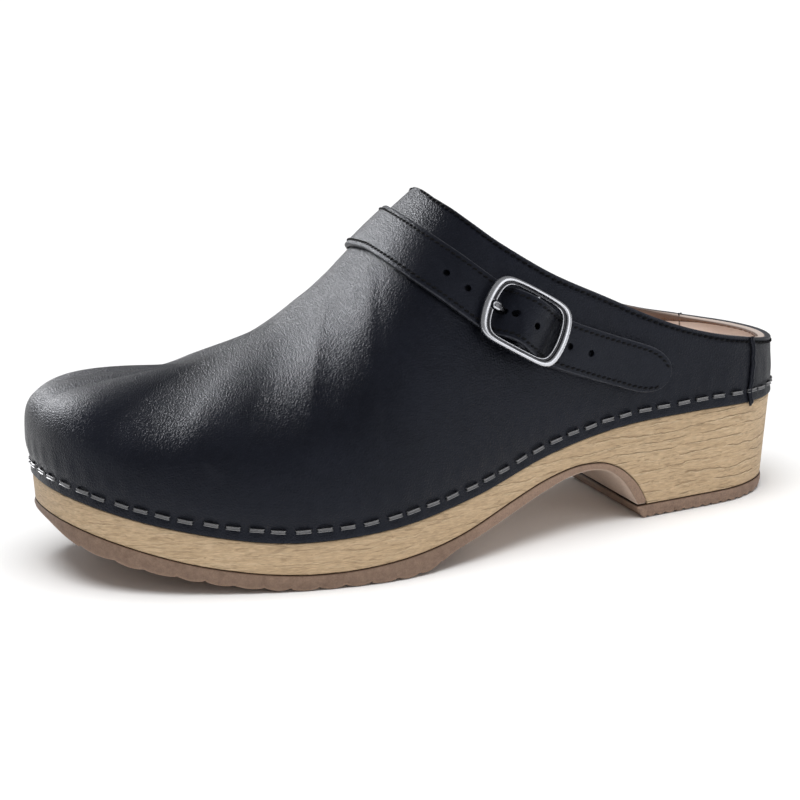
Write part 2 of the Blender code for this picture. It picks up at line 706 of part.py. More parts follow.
# ---- strap surface ------------------------------------------------------------------
class StrapSurface:
    """Coordinates on the upper: s along the strap, w across it, h above the leather."""

    def __init__(self):
        dome = Face(np.linspace(0.0, 1.0, 61), even_rows(30), trimmed=False)
        keys = list(np.ndindex(dome.points.shape[:3]))
        index = {k: n for n, k in enumerate(keys)}
        triangles = dome.triangles((0, 60), (0, dome.rows - 1))
        self.tree = BVHTree.FromPolygons([Vector(dome.points[k]) for k in keys],
                                         [[index[k] for k in face] for face in triangles])
        self.normal = np.array([math.sin(STRAP_TILT), 0.0, math.cos(STRAP_TILT)])
        self.up = np.array([-math.cos(STRAP_TILT), 0.0, math.sin(STRAP_TILT)])
        self.out = np.array([0.0, -1.0, 0.0])
        self.lines = {}
        self.square = None
        centre, along, _, _ = self.frame(BUCKLE_AT, 0.0)
        self.lines = {}
        self.square = (centre, along)

    def line(self, w):
        """Arc lengths and points where a plane parallel to the strap's meets the upper.

        The lengths count from the crest on the centreline; on the other lines they are
        shifted so that the cross line at the buckle is square to the strap.
        """
        w = round(w, 3)
        if w not in self.lines:
            start = np.array(STRAP_CENTRE) + self.normal * w
            points = []
            for angle in np.radians(np.arange(-152.0, 152.5, 1.0)):
                ray = math.cos(angle) * self.up + math.sin(angle) * self.out
                hit = self.tree.ray_cast(Vector(start), Vector(ray))[0]
                if hit is not None:
                    points.append((angle, *hit))
            points = np.array(points)
            crest = np.array([np.interp(0.0, points[:, 0], c) for c in points[:, 1:].T])
            steps = np.linalg.norm(np.diff(points[:, 1:], axis=0), axis=1)
            along = np.concatenate([[0.0], np.cumsum(steps)])
            if self.square is None:
                zero = along[np.argmin(np.linalg.norm(points[:, 1:] - crest, axis=1))]
            else:
                ahead = (points[:, 1:] - self.square[0]) @ self.square[1]
                past = int(np.argmax((points[:, 0] > 0.5) & (ahead > 0)))
                share = ahead[past] / (ahead[past] - ahead[past - 1])
                zero = along[past] - share * (along[past] - along[past - 1]) - BUCKLE_AT
            self.lines[w] = (along - zero, points[:, 1:])
        return self.lines[w]

    def base(self, s, w):
        along, points = self.line(float(w + smooth(STRAP_BOW, abs(s))))
        return np.array([np.interp(s, along, c) for c in points.T])

    def frame(self, s, w, reach=3.0):
        """Base point and the directions along, across and out of the leather there."""
        along = self.base(s + reach, w) - self.base(s - reach, w)
        across = self.base(s, w + reach) - self.base(s, w - reach)
        out = np.cross(across, along)
        if out @ (self.base(s, w) - np.array(STRAP_CENTRE)) < 0:
            out = -out
        along /= np.linalg.norm(along)
        out /= np.linalg.norm(out)
        return self.base(s, w), along, np.cross(out, along), out

    def point(self, s, w, h):
        base, _, _, out = self.frame(s, w)
        return base + out * h


def strip(surface, s_values, bottom, top, half, columns=4):
    """A band on the strap surface between two heights; half(s) is its half width."""
    rings = []
    for s in s_values:
        across = np.linspace(-half(s), half(s), columns + 1)
        low = [surface.point(s, w, bottom(s)) for w in across]
        high = [surface.point(s, w, top(s)) for w in across[::-1]]
        rings.append(np.array(low + high))
    return stack(rings, disc(2 * columns + 2))


def strap_underside(s):
    """Height of the strap's lower face: on the leather, then over bar and anchor."""
    ride = ANCHOR_THICKNESS + STRAP_GAP + GAP
    over = BAR_HEIGHT + LOOP_RADIUS + GAP
    knots = [(-400, STRAP_GAP), (-15.0, STRAP_GAP), (-12.8, STRAP_GAP), (-11.4, 0.6),
             (-10.2, 1.3), (-9.0, 2.8), (-7.6, 4.7), (-5.0, 6.9), (0.0, over), (4.5, 6.6),
             (7.5, 4.4), (9.5, ride + 0.6), (11.5, ride), (14.0, ride), (400, ride)]
    return float(smooth(knots, s - BUCKLE_AT))


def strap_half_width(s):
    """Half width of the strap, rounded off at both ends."""
    from_tip = min(STRAP_TIP - s, s - STRAP_INNER_END)
    if from_tip >= TIP_ROUND:
        return STRAP_HALF
    turn = 1.0 - max(from_tip, 0.0) / TIP_ROUND
    return STRAP_HALF * max(1.0 - turn ** 2.6, 0.06) ** (1 / 2.2)


def instep_strap(surface, axes, mats):
    """The free strap, sewn down on the inner side, with its row of holes."""
    ends = [0.0, 0.6, 1.8, 4.0, 8.0, 13.0]
    first = [STRAP_INNER_END + e for e in ends]
    last = [STRAP_TIP - e for e in reversed(ends)]
    near = BUCKLE_AT + np.array([-17, -14.5, -13.3, -12, -10.6, -9.2, -7.2, -5, -2.5, 0, 2.5,
                                 5, 7, 9, 11, 13, 16])
    before = np.linspace(first[-1], near[0], 32)[1:-1]
    after = np.linspace(near[-1], last[0], 7)[1:-1]
    along = [*first, *before, *near, *after, *last]
    strap = solid("instep_strap", *strip(
        surface, along, strap_underside, lambda s: strap_underside(s) + STRAP_THICKNESS,
        strap_half_width), mats["leather"])
    for number, shift in enumerate(HOLES):
        base, tangent, across, out = surface.frame(BUCKLE_AT + shift, 0.0)
        stretch = 1.0
        if shift == PRONG_HOLE:
            base, tangent, across, out = axes.point(shift, 0, 0), axes.along, axes.across, axes.out
            stretch = PRONG_HOLE_STRETCH
        turn = np.linspace(0.0, 2 * math.pi, 8, endpoint=False)
        ring = (np.cos(turn)[:, None] * tangent * stretch + np.sin(turn)[:, None] * across)
        rings = [base + out * h + ring * HOLE_RADIUS for h in (-2.0, 14.0)]
        boolean(strap, cutter(f"hole_{number}", *stack(rings, disc(8))))
    return strap


def anchor_strap(surface, axes, mats):
    """Short strap looped round the buckle's bar and sewn to the outer side."""
    tall = BAR_HEIGHT + LOOP_RADIUS
    flat = ANCHOR_THICKNESS + STRAP_GAP

    def top(s):
        knots = [(-LOOP_RADIUS, 5.9), (-2.0, 6.9), (-1.0, tall - 0.2), (0.4, tall), (2.0, 7.0),
                 (4.0, 5.2), (6.0, 3.4), (8.0, flat + 0.4), (10.0, flat), (12.0, flat),
                 (400, flat)]
        return float(smooth(knots, s - BUCKLE_AT))

    def bottom(s):
        knots = [(-LOOP_RADIUS, 4.7), (-2.0, 3.7), (-1.0, 3.0), (0.4, 2.5), (3.0, 1.2),
                 (6.0, STRAP_GAP), (8.0, STRAP_GAP), (400, STRAP_GAP)]
        return float(smooth(knots, s - BUCKLE_AT))

    def half(s):
        left = (BUCKLE_AT + ANCHOR_END - s) / 12.0
        return ANCHOR_HALF * min(1.0, max(left, 0.02) ** 0.5)

    shifts = [-LOOP_RADIUS, -2.0, -1.0, 0.4, 2.0, 3.0, 4.0, 6.0, 8.0, 10.0, 16.0, 24.0, 30.0,
              36.0, 40.0, 44.0, 46.6, ANCHOR_END]
    anchor = solid("anchor_strap", *strip(surface, [BUCKLE_AT + d for d in shifts], bottom, top,
                                          half), mats["leather"])
    bore = [axes.point(0.0, w, BAR_HEIGHT) for w in (-14.0, 14.0)]
    boolean(anchor, cutter("bar_bore", *bar_along(bore, axes.along, axes.out, BORE_RADIUS, 16)))
    slot = [axes.point(s, w, h) for s in (-8.0, 2.6) for w in (-PRONG_SLOT_HALF, PRONG_SLOT_HALF)
            for h in (0.5, 12.0)]
    boolean(anchor, cutter("prong_slot", slot, box_faces()))
    return anchor


# ---- buckle -------------------------------------------------------------------------
def bar_along(ends, first, second, radius, sides):
    turn = np.linspace(0.0, 2 * math.pi, sides, endpoint=False)
    ring = radius * (np.cos(turn)[:, None] * first + np.sin(turn)[:, None] * second)
    return stack([end + ring for end in ends], disc(sides))


class BuckleFrame:
    """Straight axes at the buckle: along the strap, across it, and outward."""

    def __init__(self, surface):
        near = [surface.frame(BUCKLE_AT + shift, 0.0) for shift in (-12.0, 0.0, 12.0)]
        along = near[2][0] - near[0][0]
        self.along = along / np.linalg.norm(along)
        across = np.cross(sum(f[3] for f in near), self.along)
        self.across = across / np.linalg.norm(across)
        self.out = np.cross(self.along, self.across)
        if self.out @ near[1][3] < 0:
            self.out = -self.out
        self.base = near[1][0]
        drift = sum((f[0] - self.base) @ self.across for f in near) / 3.0
        self.base = self.base + self.across * drift
        self.pivot = self.point(0.0, 0.0, BAR_HEIGHT)

    def point(self, s, w, h):
        return self.base + self.along * s + self.across * w + self.out * h


def rounded_loop(half_s, half_w, squareness, count):
    """A rounded rectangle with bowed sides."""
    turn = np.linspace(0.0, 2 * math.pi, count, endpoint=False) + math.pi / count
    power = 2.0 / squareness
    s = half_s * np.sign(np.cos(turn)) * np.abs(np.cos(turn)) ** power
    w = half_w * np.sign(np.sin(turn)) * np.abs(np.sin(turn)) ** power
    return s, w


def buckle_frame(axes, mats):
    """Arched frame with wide bowed end bars and a notch for the prong's tip."""
    count = 40
    half_s, half_w = FRAME_HALF
    loops = [(0.25, 0.0), (0.0, 0.5), (0.0, 1.4), (0.5, 2.0), (0.75, 2.0), (1.0, 1.4), (1.0, 0.0)]
    rings = []
    for inward, rise in loops:
        squareness = FRAME_SQUARENESS[0 if inward < 0.6 else 1]
        s, w = rounded_loop(half_s - FRAME_BAR * inward, half_w - FRAME_RAIL * inward,
                            squareness, count)
        drop = s**2 / (2 * FRAME_ARCH) - s * FRAME_TILT
        rings.append(np.array([axes.point(a, b, FRAME_BOTTOM + rise * FRAME_THICKNESS / 2.0 - d)
                               for a, b, d in zip(s, w, drop)]))
    vertices = np.vstack(rings)
    faces = []
    for r in range(len(rings)):
        nxt = (r + 1) % len(rings)
        for i in range(count):
            j = (i + 1) % count
            faces.append([r * count + i, r * count + j, nxt * count + j, nxt * count + i])
    frame = solid("buckle_frame", vertices, faces, mats["silver"], pivot=axes.pivot)
    centre = [axes.point(-(half_s - FRAME_BAR), 0.0, h) for h in (-1.0, 12.0)]
    boolean(frame, cutter("prong_notch", *bar_along(centre, axes.along, axes.across,
                                                    NOTCH_RADIUS, 16)))
    return frame


def buckle_bar(axes, mats):
    """Round bar across the frame, on which anchor loop and prong turn."""
    reach = FRAME_HALF[1] - FRAME_RAIL - GAP
    ends = [axes.point(0.0, w, BAR_HEIGHT) for w in (-reach, reach)]
    bar = bar_along(ends, axes.along, axes.out, BAR_RADIUS, 16)
    return solid("buckle_bar", *bar, mats["silver"], pivot=axes.pivot)


def buckle_prong(axes, mats):
    """Prong hooked round the bar; its tip comes up through the strap into the notch."""
    shank_top = [(-1.9, -0.5), (-4.0, -1.4), (-6.5, -2.0), (-8.2, -1.9), (-9.2, -1.2),
                 (-10.2, -0.3), (-10.9, 0.1), (-11.4, 0.0)]
    shank_bottom = [(-11.6, -0.4), (-11.4, -0.8), (-10.9, -0.9), (-10.2, -1.4), (-9.4, -2.2),
                    (-8.2, -3.0), (-6.5, -3.1), (-4.0, -2.6), (-2.2, -1.8)]
    inner = BAR_RADIUS + GAP
    outer = inner + 0.8
    arc = np.radians(np.linspace(222.0, 500.0, 14))
    hook_out = [(outer * math.cos(a), outer * math.sin(a)) for a in arc]
    hook_in = [(inner * math.cos(a), inner * math.sin(a)) for a in arc[::-1]]
    profile = shank_top + shank_bottom + hook_out + hook_in
    rings = [np.array([axes.point(s, w, BAR_HEIGHT + h) for s, h in profile])
             for w in (-PRONG_HALF, PRONG_HALF)]
    return solid("buckle_prong", *stack(rings, disc(len(profile))), mats["silver"],
                 pivot=axes.pivot)


# ---- assembly -----------------------------------------------------------------------
def all_materials():
    return {
        "wood": material("light_wood", (0.58, 0.42, 0.24), 0.55),
        "rubber": material("brown_rubber", (0.20, 0.12, 0.08), 0.75),
        "leather": material("black_leather", (0.018, 0.019, 0.024), 0.45),
        "stiffener": material("fibre_board", (0.42, 0.34, 0.24), 0.8),
        "lining": material("pale_lining", (0.78, 0.62, 0.52), 0.7),
        "facing": material("brown_lining", (0.26, 0.12, 0.06), 0.6),
        "foam": material("footbed_foam", (0.75, 0.70, 0.60), 0.9),
        "sock": material("sock_leather", (0.80, 0.64, 0.54), 0.6),
        "steel": material("staple_steel", (0.55, 0.55, 0.55), 0.35, 1.0),
        "silver": material("satin_silver", (0.72, 0.73, 0.75), 0.28, 1.0),
    }


def main():
    for obj in list(bpy.data.objects):
        bpy.data.objects.remove(obj, do_unlink=True)
    mats = all_materials()
    rings = Rings(np.delete(FRACTIONS, SEAM_INDEX + 1))
    wooden_sole(rings, mats)
    outsole(rings, mats)
    heel_lift(rings, mats)
    footbed(rings, mats)
    face, vamp, quarter = upper(mats)
    seam_cords(face, mats)
    staples((vamp, quarter), mats)
    surface = StrapSurface()
    axes = BuckleFrame(surface)
    instep_strap(surface, axes, mats)
    anchor_strap(surface, axes, mats)
    buckle_frame(axes, mats)
    buckle_bar(axes, mats)
    buckle_prong(axes, mats)


main()
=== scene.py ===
"""Looks of a stapled wooden clog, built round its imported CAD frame.

Lengths are in millimetres from the toe tip until a mesh is written, and metres in the
frame after that.  Station means the distance along the shoe from the toe tip.
"""

import math

import bmesh
import bpy
import numpy as np
from mathutils import Matrix, Vector, noise
from mathutils.bvhtree import BVHTree


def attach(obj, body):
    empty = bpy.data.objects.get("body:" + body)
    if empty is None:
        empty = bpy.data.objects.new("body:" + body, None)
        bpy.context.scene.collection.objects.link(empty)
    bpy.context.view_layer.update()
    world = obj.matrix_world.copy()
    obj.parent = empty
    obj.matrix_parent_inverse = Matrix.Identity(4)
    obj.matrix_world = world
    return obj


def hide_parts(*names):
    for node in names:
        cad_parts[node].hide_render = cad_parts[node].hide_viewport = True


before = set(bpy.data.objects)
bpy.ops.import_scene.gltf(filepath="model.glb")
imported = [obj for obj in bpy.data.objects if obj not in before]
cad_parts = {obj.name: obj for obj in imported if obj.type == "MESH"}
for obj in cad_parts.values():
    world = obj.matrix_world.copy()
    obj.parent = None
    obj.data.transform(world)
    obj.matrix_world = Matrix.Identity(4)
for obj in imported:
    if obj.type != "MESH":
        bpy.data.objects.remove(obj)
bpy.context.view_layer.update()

MM = 0.001
GAP = 0.3                  # clearance between neighbouring pieces
LENGTH = 268.0             # toe tip to back of heel
ORIGIN_FROM_TOE = 235.0    # the frame's origin is under the heel

# ---- shape of the shoe ----------------------------------------------------------------
# The curves are the CAD's, except the RIDGE and TOPLINES at the throat, the larger buckle
# frame and the closer treads.
OUTLINE = [
    (0, 16), (3, -4), (12, -19.6), (28, -33), (52, -44.5), (78, -53), (103, -55.8),
    (130, -50.8), (160, -42), (192, -35.5), (222, -33.4), (246, -29.6), (261, -18.5),
    (268, 1),
    (261, 20.5), (246, 29.5), (222, 32.5), (190, 31.5), (160, 33), (130, 38.5),
    (100, 45), (72, 47.5), (48, 47), (26, 44), (11, 37.5), (2.5, 28)]
HEEL_POINT = 13            # index of the heel tip in OUTLINE
STAPLE_LINE = [(0, 36.8), (30, 27.5), (65, 20.9), (100, 21.9), (135, 27.4), (165, 35.0),
               (195, 39.4), (225, 40.5), (268, 39.0)]
EDGE_BELOW_STAPLES = 4.2   # leather's lower edge under the staple line
RIM_ABOVE_STAPLES = 4.0    # top of the wooden rim above the staple line
WOOD_LINE = [(-6, 26.0), (5, 21.7), (20, 16.2), (45, 9.0), (75, 5.3), (100, 6.4),
             (125, 10.2), (150, 18.2), (165, 22.6), (179, 24.3), (190.3, 22.1),
             (197, 17.6), (202.4, 11.0), (205.4, 5.0)]
HEEL_SEAT = 4.8            # height of the wood above the heel lift
GROUND_LINE = [(-6, 24.0), (1, 20.3), (5, 16.2), (16, 10.7), (33, 6.0), (52, 2.1),
               (68, 0.2), (78, 0.0), (107, 0.0), (113, 0.5), (125, 5.6), (136, 9.1),
               (150, 13.8), (162, 17.9), (173, 20.9), (183, 21.3), (189.8, 19.3),
               (195.3, 14.7), (199.2, 9.2), (201.4, 5.2)]
HEEL_FRONT = 204.0         # front of the heel lift, at the ground
HEEL_RAKE = 2.6            # the lift's front leans forward by this much at its top
WOOD_INSET = 0.6           # leather stands proud of the wood by this much
TREAD = (8.6, 1.3)         # forefoot tread: pitch and depth
HEEL_TREAD = (3.8, 1.2)
TAPER = [(0, 1.2), (150, 1.2), (215, 4.5), (LENGTH, 4.5)]
LEATHER = 1.8
LINING_DEPTH = 3.4         # depth of the lining's outer side under the leather's face
LINING = 0.9
LEDGE = LINING_DEPTH + LINING + GAP      # set-in of the wooden rim behind both
FRONT_ANCHOR = 46.0        # the sections over the toe fan out from this station
BACK_ANCHOR = 240.0        # and those round the heel from this one
RIDGE = [(46, 64.7), (60, 65.5), (75, 69.9), (90, 76.7), (105, 88.1), (120, 102.5),
         (138, 118.0), (165, 135.8), (240, 138.8)]
RIDGE_SIDE = [(46, 12), (140, 6), (240, 0)]
FULLNESS = [(0, 5.6), (50, 4.2), (100, 2.42), (150, 1.76), (268, 2.7)]
SWELL = [(0, 0.8), (60, 1.6), (140, 0.8), (220, 0.0)]
SWELL_HEIGHT = 12.0
THROAT = 138.0
TOPLINES = (   # outer side, inner side
    [(138, 118.0), (138.6, 116.6), (139.6, 115.5), (142, 113.3), (145, 110.4), (150, 105.8),
     (165, 94.4), (190, 80.8), (215, 68.7), (236, 61.8), (245, 59.8), (258, 56.6), (268, 54.4)],
    [(138, 118.0), (138.6, 116.6), (139.6, 115.5), (142, 113.3), (145, 110.4), (150, 105.8),
     (165, 94.1), (190, 80.0), (215, 67.4), (236, 60.1), (245, 58.1), (258, 55.6), (268, 54.4)])
SEAM = 247.5               # side seam in front of the heel quarter
STITCH_INSET = 1.75        # stitch rows of the upper and strap, in from the edge

STRAP_TILT = math.radians(33.0)
STRAP_CENTRE = (165.0, 0.0, 74.8)
STRAP_BOW = [(0, 2.4), (10, 1.8), (36, -1.2), (60, -4.0), (83, -3.5), (100, -0.5),
             (118, 3.2), (135, 5.0)]
STRAP_HALF = 8.4
STRAP_THICKNESS = 1.7
STRAP_GAP = 0.5            # the straps lie this far off the upper
STRAP_TIP = 128.0          # arc length from the crest of the instep to the free tip
STRAP_INNER_END = -110.0   # to the end that is sewn to the inner side
TIP_ROUND = 15.0
BUCKLE_AT = 68.6           # arc length from the crest to the buckle's bar
BAR_HEIGHT = 5.4
BAR_RADIUS = 0.9
BORE_RADIUS = 1.15         # of the anchor strap's loop, round the bar
LOOP_RADIUS = 2.5
PRONG_SLOT_RADII = (5.3, 1.6)
ANCHOR_THICKNESS = 1.2
ANCHOR_HALF = 8.0
ANCHOR_END = 48.0
HOLES = [-30.6, -22.6, -9.9, -6.0, 2.0, 18.2, 26.8]         # from the bar
PRONG_HOLE = HOLES[2]
HOLE_RADIUS = 1.2
PRONG_HOLE_RADII = (2.0, 1.3)
FRAME_HALF = (16.2, 11.8)
FRAME_SHIFT = -0.9         # the frame's middle, towards the instep from the bar
FRAME_BAR = 3.3
FRAME_RAIL = 1.7
FRAME_BOTTOM = 5.45
FRAME_TILT = 0.04          # the heel end of the frame rides higher, over the anchor
FRAME_ARCH = 150.0         # radius of the frame's curve over the foot
OUTER_LOOP = (7.0, 0.15)   # squareness and bow of the frame's outer edge
INNER_LOOP = (7.5, 0.13)
NOTCH_RADIUS = 1.7


# ---- curves ---------------------------------------------------------------------------
def smooth(points, x):
    """Height of the smooth curve through (x, y) points."""
    xs, ys = np.array(points, float).T
    x = np.clip(np.asarray(x, float), xs[0], xs[-1])
    slope = np.gradient(ys, xs)
    i = np.clip(np.searchsorted(xs, x) - 1, 0, len(xs) - 2)
    h = xs[i + 1] - xs[i]
    t = (x - xs[i]) / h
    return ((2 * t**3 - 3 * t**2 + 1) * ys[i] + (t**3 - 2 * t**2 + t) * h * slope[i]
            + (3 * t**2 - 2 * t**3) * ys[i + 1] + (t**3 - t**2) * h * slope[i + 1])


def straight(points, x):
    """Height of the polyline through (x, y) points."""
    xs, ys = np.array(points, float).T
    return np.interp(x, xs, ys)


def lengths_along(points):
    steps = np.linalg.norm(np.diff(points, axis=0), axis=1)
    return np.concatenate([[0.0], np.cumsum(steps)])


def between(at, along, table):
    """Rows of a table, interpolated at places along it."""
    return np.stack([np.interp(at, along, column) for column in np.asarray(table).T], axis=-1)


def resample(points, at):
    """Points at the given arc lengths along a polyline."""
    return between(at, lengths_along(points), points)


def unit(vectors):
    return vectors / (np.linalg.norm(vectors, axis=-1, keepdims=True) + 1e-12)


def outline_halves(count=1200):
    """The closed outline, cut at toe and heel into its outer and inner half."""
    pts = np.array(OUTLINE, float)
    extra = 3
    loop = np.vstack([pts[-extra:], pts, pts[:extra + 1]])
    steps = np.sqrt(np.linalg.norm(np.diff(loop, axis=0), axis=1))
    knots = np.concatenate([[0.0], np.cumsum(steps)])
    toe, heel, toe_again = (knots[extra + k] for k in (0, HEEL_POINT, len(pts)))
    halves = []
    for start, end in ((toe, heel), (toe_again, heel)):
        t = np.linspace(start, end, 4 * count)
        dense = np.stack([smooth(list(zip(knots, loop[:, k])), t) for k in (0, 1)], axis=1)
        halves.append(resample(dense, np.linspace(0.0, lengths_along(dense)[-1], count)))
    return halves


HALVES = outline_halves()


def rim(side, u):
    """Plan point of one half of the outline, at a fraction from toe to heel."""
    half = HALVES[side]
    return between(u, np.linspace(0.0, 1.0, len(half)), half)


def anchor_station(u):
    """Station of the ridge point that a section at fraction u leans to."""
    middle = 0.5 * (rim(0, u)[..., 0] + rim(1, u)[..., 0])
    return FRONT_ANCHOR + (BACK_ANCHOR - FRONT_ANCHOR) * middle / LENGTH


def solve_u(value, function):
    """Fraction at which a rising function of it reaches a value."""
    u = np.linspace(0.0, 1.0, 4001)
    return float(np.interp(value, function(u), u))


def section(u, side, trimmed=True, samples=321):
    """One half section, from the staple line to the ridge, or to the topline if trimmed."""
    base = rim(side, u)
    station = anchor_station(u)
    centre = np.array([station, straight(RIDGE_SIDE, station)])
    top = smooth(RIDGE, station)
    slope = 0.5 * (smooth(RIDGE, station + 1) - smooth(RIDGE, max(station - 1, FRONT_ANCHOR)))
    low = smooth(STAPLE_LINE, base[0])
    power = 2.0 / straight(FULLNESS, base[0])
    angle = np.linspace(0.0, math.pi / 2, samples)
    across = np.cos(angle) ** power
    across[-1] = 0.0
    up = np.sin(angle) ** power
    plan = centre + (base - centre) * across[:, None]
    height = low * (1 - up) + (top + slope * (plan[:, 0] - station)) * up
    outward = unit(base - centre)
    rise = (height - low) / SWELL_HEIGHT
    swell = straight(SWELL, base[0]) * rise * np.exp(1 - rise) * across
    points = np.column_stack([plan + outward * swell[:, None], height])
    if station <= THROAT or not trimmed:
        return points
    over = points[:, 2] - smooth(TOPLINES[side], points[:, 0])
    last = int(np.argmax(over > 0))
    share = over[last - 1] / (over[last - 1] - over[last])
    edge = points[last - 1] + (points[last] - points[last - 1]) * share
    return np.vstack([points[:last], edge])


THROAT_U = solve_u(THROAT, anchor_station)
SEAM_U = solve_u(SEAM, lambda u: rim(0, u)[..., 0])


# ---- staple line ----------------------------------------------------------------------
class RimPath:
    """The staple line as a closed path round the shoe, from the toe tip."""

    def __init__(self):
        outer, inner = HALVES
        plan = np.vstack([outer, inner[-2:0:-1]])
        loop = np.column_stack([plan, smooth(STAPLE_LINE, plan[:, 0])])
        self.loop = np.vstack([loop, loop[:1]])
        self.along = lengths_along(self.loop)
        self.length = self.along[-1]

    def nearest(self, plan):
        return self.along[np.argmin(np.linalg.norm(self.loop[:, :2] - plan, axis=1))]

    def at(self, s):
        return between(np.mod(s, self.length), self.along, self.loop)

    def axes(self, s):
        """Point, direction along, and outward direction at s."""
        tangent = unit(self.at(s + 1.0) - self.at(s - 1.0))
        outward = unit(np.array([tangent[1], -tangent[0], 0.0]))
        return self.at(s), tangent, outward


PATH = RimPath()
STAPLE_PITCH = 7.4
SEAM_PLACES = [PATH.nearest(rim(side, SEAM_U)) for side in (0, 1)]


def staple_centres():
    """Even centres between the toe and the two seams, with one staple on each seam."""
    first, second = SEAM_PLACES
    half_gap = 0.5             # in pitches, from the toe tip to the nearest centre
    front = int(first / STAPLE_PITCH - half_gap)
    pitch = first / (front + half_gap)
    back = round((second - first) / STAPLE_PITCH)
    outer = first - pitch * np.arange(front, -1, -1)
    heel = first + (second - first) / back * np.arange(1, back + 1)
    rest = PATH.length - second
    inner_count = int(rest / STAPLE_PITCH - half_gap)
    inner = second + rest / (inner_count + half_gap) * np.arange(1, inner_count + 1)
    return np.concatenate([outer, heel, inner])


CENTRES = staple_centres()


# ---- meshes ---------------------------------------------------------------------------
def to_world(points):
    """Millimetres from the toe tip to metres in the frame."""
    return (np.asarray(points, float) - [ORIGIN_FROM_TOE, 0.0, 0.0]) * MM


def grid_quads(rows, columns, wrap=False):
    """Quads of a rows x columns grid of vertices; wrap joins the last column to the first."""
    i, j = np.meshgrid(np.arange(rows - 1), np.arange(columns if wrap else columns - 1),
                       indexing="ij")
    k = (j + 1) % columns
    quads = np.stack([i * columns + j, (i + 1) * columns + j, (i + 1) * columns + k,
                      i * columns + k], axis=-1)
    return quads.reshape(-1, 4)


def capped_tube(rows, size):
    """Faces of a closed tube: rows rings of size points, and a cap at each end."""
    last = (rows - 1) * size
    faces = grid_quads(rows, size, wrap=True).tolist()
    return faces + [list(range(size)), list(range(last, last + size))[::-1]]


def tag(mesh, name, values):
    """A number at each vertex, which materials read by its name."""
    layer = mesh.attributes.new(name, "FLOAT", "POINT")
    layer.data.foreach_set("value", np.asarray(values, np.float32))


def link_object(name, data):
    obj = bpy.data.objects.new(name, data)
    bpy.context.scene.collection.objects.link(obj)
    return obj


def closed_mesh(name, vertices, faces, edge=None, merge=0.0):
    """Mesh from millimetre vertices, with its faces pointing out."""
    mesh = bpy.data.meshes.new(name)
    mesh.from_pydata(to_world(vertices).tolist(), [], [list(map(int, f)) for f in faces])
    if edge is not None:
        tag(mesh, "edge", edge)
    work = bmesh.new()
    work.from_mesh(mesh)
    if merge:
        bmesh.ops.remove_doubles(work, verts=work.verts, dist=merge * MM)
        bmesh.ops.dissolve_degenerate(work, edges=work.edges, dist=1e-7)
    bmesh.ops.recalc_face_normals(work, faces=work.faces)
    work.to_mesh(mesh)
    work.free()
    return mesh


def shade(mesh, sharp):
    """Smooth shading, with edges above this angle in degrees kept sharp."""
    mesh.shade_smooth()
    mesh.set_sharp_from_angle(angle=math.radians(sharp))


def build(name, vertices, faces, mat, body="shoe", replaces=(), slot=None, sharp=40.0,
          merge=0.0, edge=None, bevel=0.0):
    """A shown piece from millimetre vertices, riding on a body."""
    mesh = closed_mesh(name, vertices, faces, edge, merge)
    shade(mesh, sharp)
    mesh.materials.append(mat)
    obj = link_object(name, mesh)
    if bevel:
        modifier = obj.modifiers.new("round_edges", "BEVEL")
        modifier.width = bevel * MM
        modifier.segments = 3
        modifier.limit_method = "ANGLE"
        modifier.angle_limit = math.radians(55)
        modifier.use_clamp_overlap = True
        apply_modifiers(obj)
        obj.data.shade_smooth()
    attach(obj, body)
    if replaces:
        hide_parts(*replaces)
    return obj


CUT_SHARP = 50.0


def apply_modifiers(obj):
    """Bakes the modifiers into the object's mesh."""
    graph = bpy.context.evaluated_depsgraph_get()
    mesh = bpy.data.meshes.new_from_object(obj.evaluated_get(graph))
    obj.modifiers.clear()
    obj.data = mesh


def cut(obj, tools):
    """Boolean difference with temporary cutters, applied at once; shades the result."""
    for tool in tools:
        modifier = obj.modifiers.new("cut", "BOOLEAN")
        modifier.operation = "DIFFERENCE"
        modifier.solver = "EXACT"
        modifier.object = tool
    bpy.context.view_layer.update()
    apply_modifiers(obj)
    for tool in tools:
        bpy.data.objects.remove(tool, do_unlink=True)
    shade(obj.data, CUT_SHARP)


def cutter_cylinder(centre, axis, first, second, radii, reach, sides=28):
    """A temporary elliptical cylinder along an axis."""
    turn = np.linspace(0.0, 2 * math.pi, sides, endpoint=False)
    ring = (np.cos(turn)[:, None] * first * radii[0] + np.sin(turn)[:, None] * second * radii[1])
    vertices = np.vstack([centre + axis * h + ring for h in reach])
    faces = [[i, (i + 1) % sides, (i + 1) % sides + sides, i + sides] for i in range(sides)]
    faces += [list(range(sides)), list(range(2 * sides - 1, sides - 1, -1))]
    return link_object("tool", closed_mesh("tool", vertices, faces))


def sweep(path, radii, sides=8, flatten=1.0, up=(0.0, 0.0, 1.0)):
    """Vertices and faces of a capped tube; radii may vary along the path."""
    path = np.asarray(path, float)
    radii = np.broadcast_to(radii, (len(path),))
    tangent = unit(np.gradient(path, axis=0))
    side = np.cross(tangent, up)
    weak = np.linalg.norm(side, axis=1) < 0.2
    side[weak] = np.cross(tangent[weak], [1.0, 0.0, 0.0])
    side = unit(side)
    top = np.cross(side, tangent)
    turn = np.linspace(0.0, 2 * math.pi, sides, endpoint=False)
    rings = (path[:, None, :] + radii[:, None, None]
             * (np.cos(turn)[None, :, None] * side[:, None, :]
                + flatten * np.sin(turn)[None, :, None] * top[:, None, :]))
    return rings.reshape(-1, 3), capped_tube(len(path), sides)


def combine(parts):
    """One vertex and face list from several."""
    vertices, faces, start = [], [], 0
    for v, f in parts:
        vertices.append(np.asarray(v, float))
        faces += [[int(k) + start for k in face] for face in f]
        start += len(v)
    return np.vstack(vertices), faces


